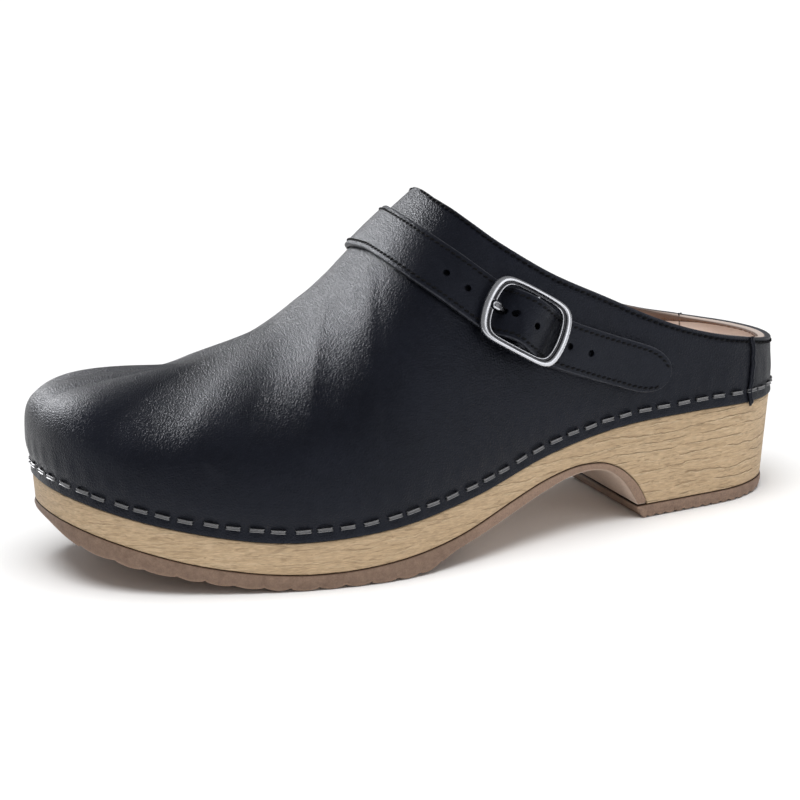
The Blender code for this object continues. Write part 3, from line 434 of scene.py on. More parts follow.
STITCH_ARCH = np.array([-0.9, 0.1, 0.45, 0.55, 0.45, 0.1, -0.9])    # height, in radii
STITCH_SHAPE = np.array([0.55, 0.9, 1.0, 1.0, 1.0, 0.9, 0.55])       # thickness, in radii


def stitches(points, normals, length, space, radius, sink=0.35, slant=0.0):
    """A row of separate thread loops lying along a line on a surface."""
    samples = len(STITCH_ARCH)
    along = lengths_along(points)
    count = max(1, int((along[-1] - space) / (length + space)))
    pitch = along[-1] / count
    parts = []
    for k in range(count):
        start = (k + 0.5) * pitch - length / 2
        at = np.linspace(start, start + length, samples)
        line = resample(points, at)
        out = unit(between(at, along, normals))
        across = unit(np.cross(out, np.gradient(line, axis=0)))
        swing = np.linspace(-0.5, 0.5, samples)[:, None] * slant
        arch = STITCH_ARCH[:, None] * radius
        line = line + out * (arch + radius * (0.5 - sink)) + across * swing
        parts.append(sweep(line, radius * STITCH_SHAPE, sides=6, up=tuple(out[samples // 2])))
    return combine(parts)


# ---- materials ------------------------------------------------------------------------
class Nodes:
    """A node material, written as a chain of short calls."""

    def __init__(self, name):
        self.mat = bpy.data.materials.new(name)
        self.mat.use_nodes = True
        self.tree = self.mat.node_tree
        self.shader = self.tree.nodes["Principled BSDF"]
        coordinates = self.tree.nodes.new("ShaderNodeTexCoord")
        self.place = coordinates.outputs["Object"]

    def link(self, source, target):
        self.tree.links.new(source, target)

    def put(self, socket, value):
        """Links a socket, or sets it to a constant."""
        if isinstance(value, bpy.types.NodeSocket):
            self.link(value, socket)
        elif isinstance(value, (tuple, list)) and len(value) == 3 and socket.type == "RGBA":
            socket.default_value = (*value, 1.0)
        else:
            socket.default_value = value

    def set(self, **values):
        for key, value in values.items():
            self.put(self.shader.inputs[key.replace("_", " ")], value)

    def node(self, kind, inputs, **settings):
        """A new node with its inputs set, by name or number, and its own settings."""
        node = self.tree.nodes.new("ShaderNode" + kind)
        for key, value in settings.items():
            setattr(node, key, value)
        for key, value in inputs.items():
            self.put(node.inputs[key], value)
        return node

    def stretched(self, scale, turn=(0.0, 0.0, 0.0)):
        node = self.node("Mapping", {"Vector": self.place, "Scale": scale, "Rotation": turn})
        return node.outputs["Vector"]

    def noise(self, scale, detail=4.0, roughness=0.55, distortion=0.0, vector=None):
        node = self.node("TexNoise", {"Vector": vector or self.place, "Scale": scale,
                                      "Detail": detail, "Roughness": roughness,
                                      "Distortion": distortion})
        return node.outputs["Fac"]

    def cells(self, scale, feature="F1", vector=None):
        node = self.node("TexVoronoi", {"Vector": vector or self.place, "Scale": scale},
                         feature=feature)
        return node.outputs["Distance"]

    def twist(self, scale, distortion, detail_scale):
        node = self.node("TexWave", {"Vector": self.place, "Scale": scale,
                                     "Distortion": distortion, "Detail": 3.0,
                                     "Detail Scale": detail_scale},
                         bands_direction="DIAGONAL")
        return node.outputs["Fac"]

    def warped(self, scale, amount):
        """The object's coordinates, pushed about by a noise, in metres."""
        node = self.node("TexNoise", {"Vector": self.place, "Scale": scale, "Detail": 2.0})
        push = self.node("VectorMath", {0: node.outputs["Color"], 1: (amount,) * 3,
                                        2: self.place}, operation="MULTIPLY_ADD")
        return push.outputs["Vector"]

    def attribute(self, name):
        return self.node("Attribute", {}, attribute_name=name).outputs["Fac"]

    def ramp(self, value, *stops):
        """Colour ramp from (position, colour) stops; a number makes a grey stop."""
        node = self.node("ValToRGB", {"Fac": value})
        elements = node.color_ramp.elements
        while len(elements) < len(stops):
            elements.new(0.5)
        for element, (position, colour) in zip(elements, stops):
            element.position = position
            grey = not isinstance(colour, tuple)
            element.color = (colour, colour, colour, 1.0) if grey else (*colour, 1.0)
        return node.outputs["Color"]

    def mix(self, share, a, b, blend="MIX"):
        colour_a, colour_b, colour_out = 6, 7, 2
        node = self.node("Mix", {"Factor": share, colour_a: a, colour_b: b},
                         data_type="RGBA", blend_type=blend)
        return node.outputs[colour_out]

    def math(self, operation, a, b=0.0):
        return self.node("Math", {0: a, 1: b}, operation=operation).outputs[0]

    def axis(self, name):
        return self.node("SeparateXYZ", {0: self.place}).outputs[name]

    def span(self, axis, low, high):
        """0 to 1 between two places along an axis, in metres."""
        node = self.node("MapRange", {"Value": self.axis(axis), "From Min": low,
                                      "From Max": high})
        return node.outputs["Result"]

    def height(self, *layers):
        """Sum of (value, weight) pairs."""
        total = None
        for value, weight in layers:
            scaled = self.math("MULTIPLY", value, weight)
            total = scaled if total is None else self.math("ADD", total, scaled)
        return total

    def bump(self, height, distance, strength=1.0):
        """Bump of a height field, full height in millimetres."""
        node = self.node("Bump", {"Strength": strength, "Distance": distance * MM,
                                  "Height": height})
        self.link(node.outputs["Normal"], self.shader.inputs["Normal"])


def leather_material(name, dark, light, grain=1.0, rough=(0.36, 0.52), wear_and_sheen=(0.06, 0.062, 0.072),
                     shine=0.24, edge_wear_and_sheen=0.5):
    """Oiled smooth leather: pebble grain, cloudy colour, and paler edges, partly wear and partly
    painted highlight.
    """
    n = Nodes(name)
    cloud = n.noise(26.0, 5.0, 0.6)
    fine = n.noise(420.0, 4.0, 0.65)
    tone = n.height((cloud, 0.7), (fine, 0.3))
    colour = n.ramp(tone, (0.36, dark), (0.66, light))
    scuff = n.ramp(n.noise(70.0, 8.0, 0.74, 0.5), (0.58, 0.0), (0.84, 1.0))
    colour = n.mix(n.math("MULTIPLY", scuff, 0.12), colour, wear_and_sheen)
    # Paler edges: partly rubbing wear, partly a painted highlight along the rounded edges.
    edge = n.attribute("edge")
    broken = n.ramp(n.noise(900.0, 3.0), (0.30, 0.35), (0.62, 1.0))
    rub_and_sheen = n.math("MULTIPLY", n.math("MULTIPLY", edge, broken), edge_wear_and_sheen)
    colour = n.mix(rub_and_sheen, colour, wear_and_sheen)
    pebble = n.ramp(n.cells(1050.0, "DISTANCE_TO_EDGE", vector=n.warped(900.0, 0.0009)),
                    (0.0, 0.0), (0.30, 1.0))
    crease = n.noise(560.0, 6.0, 0.68, 0.9)
    pores = n.noise(2400.0, 3.0, 0.7)
    n.bump(n.height((pebble, 0.42), (crease, 0.70), (pores, 0.26)), 0.25 * grain, 0.9)
    roughness = n.ramp(n.height((cloud, 0.4), (crease, 0.6)), (0.30, rough[0]), (0.70, rough[1]))
    n.set(Base_Color=colour, Roughness=roughness, Specular_IOR_Level=shine,
          Specular_Tint=(0.78, 0.84, 1.0))
    return n.mat


def wood_material():
    """Pale alder: long wavy grain, broken ripples with painted shade and painted highlight, open
    pores and a matt oil finish.
    """
    n = Nodes("light_wood")
    tilt = (0.0, math.radians(1.5), 0.0)
    streaks = n.noise(900.0, 5.0, 0.62, 0.6, n.stretched((0.10, 0.12, 1.0), tilt))
    fibres = n.noise(2600.0, 3.0, 0.6, 0.3, n.stretched((0.16, 0.2, 1.0), tilt))
    wander = n.noise(60.0, 3.0, 0.5, 0.0, n.stretched((0.45, 0.45, 1.0)))
    rise = n.math("ADD", n.axis("Z"), n.math("MULTIPLY", wander, 0.008))
    rise = n.math("ADD", rise, n.math("MULTIPLY", n.noise(330.0, 2.0, 0.5), 0.0011))
    breaks = n.ramp(n.noise(300.0, 4.0, 0.62, 0.3, n.stretched((0.30, 0.30, 1.0))),
                    (0.43, 0.0), (0.52, 1.0))
    heelward = n.span("X", -0.12, 0.0)
    share = n.math("MULTIPLY", breaks, n.math("ADD", n.math("MULTIPLY", heelward, 0.6), 0.4))

    # Ripple lines: each dark line is grain figure plus painted shade of its groove, and the lit
    # copy just below it is a painted highlight.
    def ripple_lines(shift):
        ripple = n.math("PINGPONG", n.math("ADD", rise, shift), 0.0018)
        thin = n.ramp(n.math("MULTIPLY", ripple, 1.0 / 0.0018), (0.0, 1.0), (0.14, 0.0))
        return n.math("MULTIPLY", thin, share)

    lines = ripple_lines(0.0)
    lit = ripple_lines(0.00042)
    ticks = n.ramp(n.noise(1300.0, 3.0, 0.6, 0.8, n.stretched((0.14, 0.14, 1.0))),
                   (0.57, 0.0), (0.67, 1.0))
    broad = n.noise(16.0, 3.0, 0.5, 0.4, n.stretched((0.35, 0.35, 1.0)))
    base = n.ramp(broad, (0.30, (0.50, 0.360, 0.220)), (0.70, (0.585, 0.430, 0.272)))
    base = n.mix(n.ramp(streaks, (0.36, 0.42), (0.52, 0.0)), base, (0.40, 0.280, 0.160))
    base = n.mix(n.ramp(streaks, (0.54, 0.0), (0.72, 0.40)), base, (0.68, 0.545, 0.37))
    base = n.mix(n.math("MULTIPLY", lit, 0.55), base, (0.74, 0.60, 0.42))
    base = n.mix(n.math("MULTIPLY", lines, 0.66), base, (0.27, 0.175, 0.095))
    base = n.mix(n.math("MULTIPLY", ticks, 0.40), base, (0.27, 0.18, 0.10))
    speck = n.ramp(fibres, (0.32, 0.80), (0.68, 1.12))
    base = n.mix(1.0, base, speck, "MULTIPLY")
    n.bump(n.height((lines, -1.6), (lit, 0.5), (streaks, 0.55), (fibres, 0.30), (ticks, -0.5)),
           0.24, 0.9)
    n.set(Base_Color=base, Roughness=n.ramp(streaks, (0.3, 0.52), (0.7, 0.68)),
          Specular_IOR_Level=0.3)
    return n.mat


def rubber_material(name, dark, light, under):
    """Brown crepe rubber with mottled colour and mould grain; smooth and paler beneath, partly its
    own colour and partly painted light, with a painted highlight along its lower edges.
    """
    n = Nodes(name)
    mottled = n.noise(330.0, 6.0, 0.72)
    grain = n.noise(1900.0, 3.0, 0.6)
    colour = n.ramp(n.height((mottled, 0.6), (grain, 0.4)), (0.36, dark), (0.64, light))
    # Smooth underside: its paler colour is partly the rubber's own, partly painted light in place
    # of light it does not get.
    smooth_lit_side = n.attribute("smooth")
    colour = n.mix(smooth_lit_side, colour, under)
    # Painted highlight: lower edges and the waist's side go lighter.
    edge = n.math("MULTIPLY", n.attribute("edge"), n.ramp(grain, (0.3, 0.4), (0.7, 1.0)))
    colour = n.mix(edge, colour, tuple(min(1.0, 1.6 * c) for c in light))
    colour = n.mix(n.attribute("seam"), colour, (0.050, 0.026, 0.016))
    pits = n.cells(950.0, "SMOOTH_F1")
    rough_side = n.math("SUBTRACT", 1.0, n.math("MULTIPLY", smooth_lit_side, 0.85))
    relief = n.height((grain, 0.5), (pits, 0.5), (mottled, 0.6))
    n.bump(n.math("MULTIPLY", relief, rough_side), 0.26, 0.8)
    n.set(Base_Color=colour, Roughness=n.ramp(grain, (0.3, 0.58), (0.7, 0.80)),
          Specular_IOR_Level=0.32)
    return n.mat


def metal_material(name, colour, rough, brush, scale):
    """Satin metal with fine brush marks, a few handling marks and painted shade in its recesses.
    """
    n = Nodes(name)
    lines = n.noise(1500.0, 4.0, 0.6, 0.0, n.stretched(brush))
    marks = n.ramp(n.noise(420.0, 6.0, 0.7, 1.2), (0.60, 0.0), (0.74, 1.0))
    tint = n.ramp(n.noise(120.0, 3.0), (0.3, tuple(0.86 * c for c in colour)), (0.7, colour))
    tint = n.mix(n.math("MULTIPLY", marks, 0.15), tint, tuple(0.55 * c for c in colour))
    # Painted shade: recesses go nearly black.
    recess_shade = n.attribute("recess_shade")
    tint = n.mix(n.math("MULTIPLY", recess_shade, 0.93), tint, (0.012, 0.012, 0.015))
    n.bump(n.height((lines, 1.0), (marks, -0.5)), scale, 0.6)
    n.set(Base_Color=tint, Metallic=1.0,
          Roughness=n.ramp(lines, (0.3, rough[0]), (0.7, rough[1])))
    return n.mat


def suede_material(name, dark, light, edge=(0.5, 0.3, 0.2), share=0.5):
    """Soft unfinished leather: nap, cloudy tone and a faint sheen."""
    n = Nodes(name)
    cloud = n.noise(45.0, 5.0, 0.6)
    nap = n.noise(1300.0, 4.0, 0.7, 0.4)
    colour = n.ramp(n.height((cloud, 0.6), (nap, 0.4)), (0.35, dark), (0.65, light))
    colour = n.mix(n.math("MULTIPLY", n.attribute("edge"), share), colour, edge)
    pores = n.cells(1700.0)
    n.bump(n.height((nap, 0.8), (pores, 0.4), (cloud, 0.6)), 0.14, 0.7)
    n.set(Base_Color=colour, Roughness=n.ramp(nap, (0.3, 0.62), (0.7, 0.85)),
          Specular_IOR_Level=0.3, Sheen_Weight=0.15)
    return n.mat


def thread_material(name, dark, light):
    """Waxed thread with a fine twist."""
    n = Nodes(name)
    twist = n.twist(1400.0, 1.0, 2.0)
    n.bump(twist, 0.10, 0.8)
    n.set(Base_Color=n.ramp(twist, (0.2, dark), (0.8, light)), Roughness=0.6,
          Specular_IOR_Level=0.15)
    return n.mat


MATS = {
    "leather": leather_material("black_leather", (0.0026, 0.0030, 0.0052),
                                (0.0062, 0.0070, 0.0112), rough=(0.31, 0.43)),
    "quarter": leather_material("black_leather_heel", (0.0070, 0.0075, 0.0090),
                                (0.0145, 0.0150, 0.0178), 1.3, (0.44, 0.60), shine=0.30),
    "strap": leather_material("black_leather_strap", (0.0032, 0.0037, 0.0062),
                              (0.0075, 0.0084, 0.0125), 0.8, (0.33, 0.46), shine=0.24,
                              edge_wear_and_sheen=0.85),
    "wood": wood_material(),
    # The rubber's last colour is its smooth underside: paler, partly its own colour and partly
    # painted light.
    "rubber": rubber_material("brown_rubber", (0.160, 0.103, 0.073), (0.262, 0.178, 0.130),
                              (0.78, 0.64, 0.54)),
    "lift": rubber_material("brown_rubber_heel", (0.170, 0.110, 0.080), (0.310, 0.212, 0.156),
                            (0.25, 0.17, 0.125)),
    "lining": suede_material("pale_lining", (0.80, 0.67, 0.60), (0.89, 0.79, 0.72),
                             (0.11, 0.065, 0.045), 1.0),
    "facing": suede_material("brown_lining", (0.115, 0.068, 0.050), (0.200, 0.128, 0.096),
                             (0.06, 0.035, 0.025)),
    "sock": suede_material("sock_leather", (0.70, 0.56, 0.49), (0.82, 0.70, 0.63),
                           (0.5, 0.38, 0.31)),
    "board": suede_material("fibre_board", (0.32, 0.25, 0.17), (0.45, 0.37, 0.26)),
    "foam": suede_material("footbed_foam", (0.62, 0.56, 0.46), (0.75, 0.70, 0.60)),
    "steel": metal_material("staple_steel", (0.36, 0.36, 0.37), (0.38, 0.52),
                            (1.0, 1.0, 0.25), 0.05),
    "silver": metal_material("satin_silver", (0.64, 0.65, 0.69), (0.22, 0.32),
                             (0.25, 1.0, 0.35), 0.005),
    "thread": thread_material("black_thread", (0.0014, 0.0014, 0.0018), (0.0060, 0.0060, 0.0074)),
    "brown_thread": thread_material("brown_thread", (0.09, 0.045, 0.025), (0.20, 0.11, 0.07)),
    "pale_thread": thread_material("pale_thread", (0.42, 0.32, 0.25), (0.62, 0.50, 0.42)),
}


# ---- upper ----------------------------------------------------------------------------
def row_lengths(total):
    """Distances up a section, fine over the staples and near the edge."""
    low = min(14.0, 0.45 * total)
    high = total - min(9.0, 0.35 * total)
    return np.concatenate([np.linspace(0.0, low, 18)[1:], np.linspace(low, high, 46)[1:],
                           np.linspace(high, total, 13)[1:]])


class Face:
    """Fine grid over the upper's outer face; both halves, from lower edge to top."""

    def __init__(self, fractions, rows=row_lengths, trimmed=True, foot_rows=5):
        self.fractions = np.asarray(fractions)
        self.foot = foot_rows
        self.trimmed = trimmed
        self.rows_of = rows
        self.points = np.array([[self.column(u, side) for u in self.fractions]
                                for side in (0, 1)])
        self.closed = self.fractions <= (THROAT_U + 1e-9 if trimmed else 2.0)
        self.normals = self.find_normals()

    def column(self, u, side):
        line = section(u, side, self.trimmed)
        total = lengths_along(line)[-1]
        drop = np.linspace(EDGE_BELOW_STAPLES - GAP, 0.0, self.foot)
        foot = line[0] - drop[:, None] * [0, 0, 1]
        return np.vstack([foot, resample(line, self.rows_of(total))])

    def find_normals(self):
        """Normals of the true face, averaged where the two halves meet."""
        near = 0.0015
        normals = np.zeros_like(self.points)
        for side in (0, 1):
            for i, u in enumerate(self.fractions):
                ahead = self.column(min(u + near, 1.0), side)
                behind = self.column(max(u - near, 0.0), side)
                upward = np.gradient(self.points[side, i], axis=0)
                normal = np.cross(ahead - behind, upward) * (1 if side == 0 else -1)
                normal[:self.foot, 2] = 0.0
                normals[side, i] = unit(normal)
        for i, u in enumerate(self.fractions):
            if self.closed[i]:
                station = anchor_station(u)
                slope = (smooth(RIDGE, station + 1) - smooth(RIDGE, station - 1)) / 2
                normals[:, i, -1] = unit(np.array([-slope, 0.0, 1.0]))
            if u in (0.0, 1.0):
                normals[:, i] = unit(normals[:, i].sum(axis=0))[None]
        return normals

    def heights(self):
        """Distances up from the staple line and down from the top, over the grid."""
        rise = np.zeros(self.points.shape[:3])
        below_top = np.zeros(self.points.shape[:3])
        for k in np.ndindex(self.points.shape[:2]):
            along = lengths_along(self.points[k])
            rise[k] = along - along[self.foot - 1]
            below_top[k] = along[-1] - along
        return rise, below_top

    def sheet(self, i_range, j_range, outer, inner):
        """Closed sheet between two depths, which may be arrays over the grid."""
        i0, i1 = i_range
        j0, j1 = j_range
        parts, faces, start = [], [], 0
        for side in (0, 1):
            pts = self.points[side, i0:i1 + 1, j0:j1 + 1]
            nrm = self.normals[side, i0:i1 + 1, j0:j1 + 1]
            nu, nv = pts.shape[:2]
            layers = []
            for depth in (outer, inner):
                if np.ndim(depth):
                    depth = depth[side, i0:i1 + 1, j0:j1 + 1, None]
                layers.append(pts - nrm * depth)
            quads = grid_quads(nu, nv)
            count = nu * nv
            flip = quads[:, ::-1]
            faces.append((quads if side == 0 else flip) + start)
            faces.append((flip if side == 0 else quads) + start + count)
            borders = []
            if not (i0 == 0 and self.fractions[0] == 0.0):
                borders.append(np.arange(nv))
            if self.fractions[i1] != 1.0:
                borders.append((nu - 1) * nv + np.arange(nv))
            borders.append(np.arange(nu) * nv)
            open_top = np.ones(nu, bool)
            if j1 == self.points.shape[2] - 1:
                open_top = ~self.closed[i0:i1 + 1]
                first = int(np.argmax(open_top)) if open_top.any() else nu
                open_top[max(0, first - 1):] = open_top.any()
            top = np.arange(nu)[open_top] * nv + nv - 1
            if len(top) > 1:
                borders.append(top)
            for line in borders:
                a, b = line[:-1] + start, line[1:] + start
                faces.append(np.stack([a, b, b + count, a + count], axis=1))
            parts += [layers[0].reshape(-1, 3), layers[1].reshape(-1, 3)]
            start += 2 * count
        return np.vstack(parts), np.vstack(faces)

    def layer_values(self, values, i_range, j_range):
        """A per-vertex value for the vertices that sheet() makes."""
        i0, i1 = i_range
        j0, j1 = j_range
        out = []
        for side in (0, 1):
            part = values[side, i0:i1 + 1, j0:j1 + 1].reshape(-1)
            out += [part, part]
        return np.concatenate(out)


SEAM_GAP_U = 0.0008
VAMP_U = np.concatenate([np.linspace(0.0, THROAT_U, 190),
                         np.linspace(THROAT_U, SEAM_U - SEAM_GAP_U, 130)[1:]])
HEEL_U = np.linspace(SEAM_U + SEAM_GAP_U, 1.0, 46)


# Depths of the leather's relief, and the lengths over which each one fades.
STAPLE_PULL = 0.42
PULL_ALONG = 2.3
PULL_UP = 1.9
ROW_DIP = 0.16
DIP_UP = 2.6
PUFF = 0.22
PUFF_AT = 6.5
PUFF_UP = 3.6
WAVES = ((0.16, 0.045, 0.0), (0.06, 0.14, 40.0))      # depth, waves per mm, offset
GROOVE = 0.30
GROOVE_WIDTH = 0.55
BEAD = 0.16
BEAD_AT = 0.5
BEAD_WIDTH = 0.7


def bell(values, width, power=2):
    return np.exp(-(values / width) ** power)


def leather_relief(face):
    """Depth of the staples' pull and the leather's soft unevenness, and the paler edges: wear and
    painted highlight.
    """
    rise, below_top = face.heights()
    depth = np.zeros(rise.shape)
    for side in (0, 1):
        place = np.array([PATH.nearest(rim(side, u)) for u in face.fractions])
        nearest = np.min(np.abs(place[:, None] - CENTRES[None, :]), axis=1)
        pull = bell(nearest, PULL_ALONG, 4)
        depth[side] += STAPLE_PULL * pull[:, None] * bell(rise[side], PULL_UP)
        depth[side] += ROW_DIP * bell(rise[side], DIP_UP)
        depth[side] -= PUFF * (1 - pull[:, None]) * bell(rise[side] - PUFF_AT, PUFF_UP)
    for k in np.ndindex(depth.shape):
        depth[k] -= sum(height * noise.noise(Vector((face.points[k] * scale + shift).tolist()))
                        for height, scale, shift in WAVES)
    opening = np.zeros(depth.shape)
    opening[:] = (~face.closed)[None, :, None]
    groove = bell(below_top - STITCH_INSET, GROOVE_WIDTH) * opening
    bead = bell(below_top - BEAD_AT, BEAD_WIDTH) * opening
    depth += GROOVE * groove - BEAD * bead
    for i, u in enumerate(face.fractions):
        if u in (0.0, 1.0):
            depth[:, i] = depth[:, i].mean(axis=0)
        if face.closed[i]:
            depth[:, i, -1] = depth[:, i, -1].mean()
    # Paler lower edge and topline bead: partly wear, partly painted highlight.
    lower = bell(rise + EDGE_BELOW_STAPLES - GAP, 0.7)
    upper_edge = bell(below_top, 0.7) * opening
    return depth, np.clip(0.35 * lower + upper_edge, 0, 1)


def line_on(face, side, i_range, below):
    """Points and normals a fixed distance under the topline of one half."""
    points, normals = [], []
    for i in range(*i_range):
        column = face.points[side, i]
        along = lengths_along(column)
        at = along[-1] - below
        points.append(between(at, along, column))
        normals.append(between(at, along, face.normals[side, i]))
    return np.array(points), unit(np.array(normals))


def make_leather(face, name, node, mat, stitch_name):
    """Outer leather of the vamp or the heel, and the stitch row along its topline."""
    columns = (0, len(face.fractions) - 1)
    rows = (0, face.points.shape[2] - 1)
    relief, rub_and_sheen = leather_relief(face)
    vertices, faces = face.sheet(columns, rows, relief, LEATHER)
    build(name, vertices, faces, MATS[mat], replaces=(node,), slot="black_leather",
          merge=0.002, edge=face.layer_values(rub_and_sheen, columns, rows), bevel=0.38)
    first = int(np.argmax(~face.closed))
    parts = []
    for side in (0, 1):
        line, out = line_on(face, side, (first, len(face.fractions)), STITCH_INSET)
        parts.append(stitches(line, out, 1.75, 0.55, 0.36, sink=0.35, slant=0.55))
    build(stitch_name, *combine(parts), MATS["thread"], slot="black_leather", sharp=60)


def make_lining(face, name, node):
    """Lining behind the leather, thicker where it wraps up to the edge."""
    columns = (0, len(face.fractions) - 1)
    rows = (face.foot + 2, face.points.shape[2] - 1)
    below = face.heights()[1]
    near_top = np.where(face.closed[None, :, None], 0.0, 1.0)
    wrap = near_top * np.clip((3.2 - below) / 1.2, 0.0, 1.0)
    outer = LINING_DEPTH - (LINING_DEPTH - LEATHER - 0.12) * wrap
    back = np.interp(face.points[..., 0], [236.0, 252.0], [1.0, 0.5])
    rim_colour = near_top * np.clip((1.1 - below) / 0.4, 0.0, 1.0) * back
    vertices, faces = face.sheet(columns, rows, outer, LINING_DEPTH + LINING)
    build(name, vertices, faces, MATS["lining"], replaces=(node,), slot="pale_lining",
          merge=0.002, edge=face.layer_values(rim_colour, columns, rows), bevel=0.3)


FACING_WIDTH = [(138, 7.0), (222, 6.0), (236, 3.7), (244, 2.3), (256, 1.0), (265, 0.6),
                (268, 0.5)]
FACING_BELOW_EDGE = 0.30
FACING_DEPTH = LEDGE - 0.24


def opening_columns(vamp, heel):
    """Columns of the face round the opening, from the throat by the heel and back."""
    first = int(np.argmax(~vamp.closed)) + 1
    sides = []
    for side in (0, 1):
        columns = [(vamp, side, c) for c in range(first, len(vamp.fractions))]
        columns += [(heel, side, c) for c in range(len(heel.fractions))]
        sides.append(columns)
    return sides[0] + sides[1][-2::-1]


def make_facing(vamp, heel):
    """Brown leather strip inside the opening's edge, stitched along its lower side."""
    rows = 14
    share = np.linspace(0.0, 1.0, rows)
    back, front, stitch_points, stitch_normals = [], [], [], []
    for face, side, c in opening_columns(vamp, heel):
        column, nrm = face.points[side, c], face.normals[side, c]
        along = lengths_along(column)
        width = min(straight(FACING_WIDTH, column[-1, 0]),
                    0.4 * (along[-1] - along[face.foot - 1]))
        top = along[-1] - FACING_BELOW_EDGE
        at = top - width * (1 - share)
        pos = between(at, along, column)
        out = unit(between(at, along, nrm))
        thick = 0.74 + 0.14 * np.sin(math.pi * share)
        back.append(pos - out * FACING_DEPTH)
        front.append(pos - out * (FACING_DEPTH + thick[:, None]))
        spot = top - width + min(1.1, 0.4 * width)
        stitch_points.append(between(spot, along, column) - out[0] * (LEDGE + 0.60))
        stitch_normals.append(-out[0])
    columns = len(back)
    count = columns * rows
    quads = grid_quads(columns, rows)
    borders = [np.arange(rows), (columns - 1) * rows + np.arange(rows),
               np.arange(columns) * rows, np.arange(columns) * rows + rows - 1]
    walls = [np.stack([a[:-1], a[1:], a[1:] + count, a[:-1] + count], axis=1) for a in borders]
    rub = np.tile(bell(share, 0.08) + bell(1 - share, 0.08), columns)
    build("topline_facing_shown", np.vstack([np.vstack(back), np.vstack(front)]),
          np.vstack([quads, quads[:, ::-1] + count, *walls]), MATS["facing"],
          replaces=("topline_facing",), slot="brown_lining",
          edge=np.concatenate([rub, rub]), merge=0.01, bevel=0.2)
    thread = stitches(np.array(stitch_points), np.array(stitch_normals), 2.2, 0.9, 0.26, sink=0.6)
    build("facing_stitches", *thread, MATS["brown_thread"], slot="brown_lining", sharp=60)


def make_seam_cords(vamp, heel):
    """Twin rolled cord over each side seam; it passes under the seam's staple."""
    sway = [(0.0, -0.7), (0.12, -0.9), (0.35, -0.2), (0.7, 1.0), (0.9, 0.9), (1.0, 0.2)]
    two_strands = ((-0.44, 0.50, 0.0), (0.48, 0.58, 1.3))      # offset, radius, phase
    staple_rise = EDGE_BELOW_STAPLES - GAP
    for side, name in ((0, "outer"), (1, "inner")):
        line = 0.5 * (vamp.points[side, -1] + heel.points[side, 0])
        out = heel.normals[side, 0]
        along = lengths_along(line)
        at = np.linspace(-0.7, along[-1] - (0.0 if side == 0 else 0.3), 100)
        path = resample(line, at)
        path[:, 2] += np.minimum(at, 0.0) + np.maximum(at - along[-1], 0.0)
        lift = unit(between(at, along, out))
        tangent = unit(np.gradient(path, axis=0))
        heelward = unit(np.cross(tangent, lift)) * (1.0 if side == 0 else -1.0)
        heelward *= np.sign(heelward[len(at) // 2, 0])
        pressed = bell(at - staple_rise, 1.3)
        wobble = np.array([noise.noise(Vector((v * 0.35, 3.0 * side + 7.0, 0.0))) for v in at])
        shift = smooth(sway, at / along[-1]) + 0.35 * wobble
        high = 0.42 - 0.40 * pressed
        strands = []
        for offset, radius, phase in two_strands:
            beat = 0.07 * np.sin(at * 1.9 + phase)
            centre = (path + lift * (high + beat + 0.12 * (offset > 0))[:, None]
                      + heelward * (shift + offset * (1 - 0.2 * pressed))[:, None])
            size = radius * (1.0 + 0.10 * np.sin(at * 2.7 + phase) + 0.12 * wobble)
            size[:3] *= [0.6, 0.85, 0.95]
            strands.append(sweep(centre, size, sides=12, up=(0.0, 1.0, 0.0)))
        knot = path[0] + lift[0] * 0.35 + heelward[0] * shift[0]
        for k in range(4):
            direction = unit(heelward[0] * math.cos(1.3 * k) - tangent[0] * (0.5 + 0.2 * k))
            strand = knot + np.linspace(-0.5, 0.95, 6)[:, None] * direction
            strands.append(sweep(strand, [0.45, 0.5, 0.5, 0.42, 0.3, 0.12], sides=8,
                                 up=(0.0, 1.0, 0.0)))
        build(f"seam_cord_{name}_shown", *combine(strands), MATS["leather"],
              replaces=(f"seam_cord_{name}",), slot="black_leather", sharp=50)


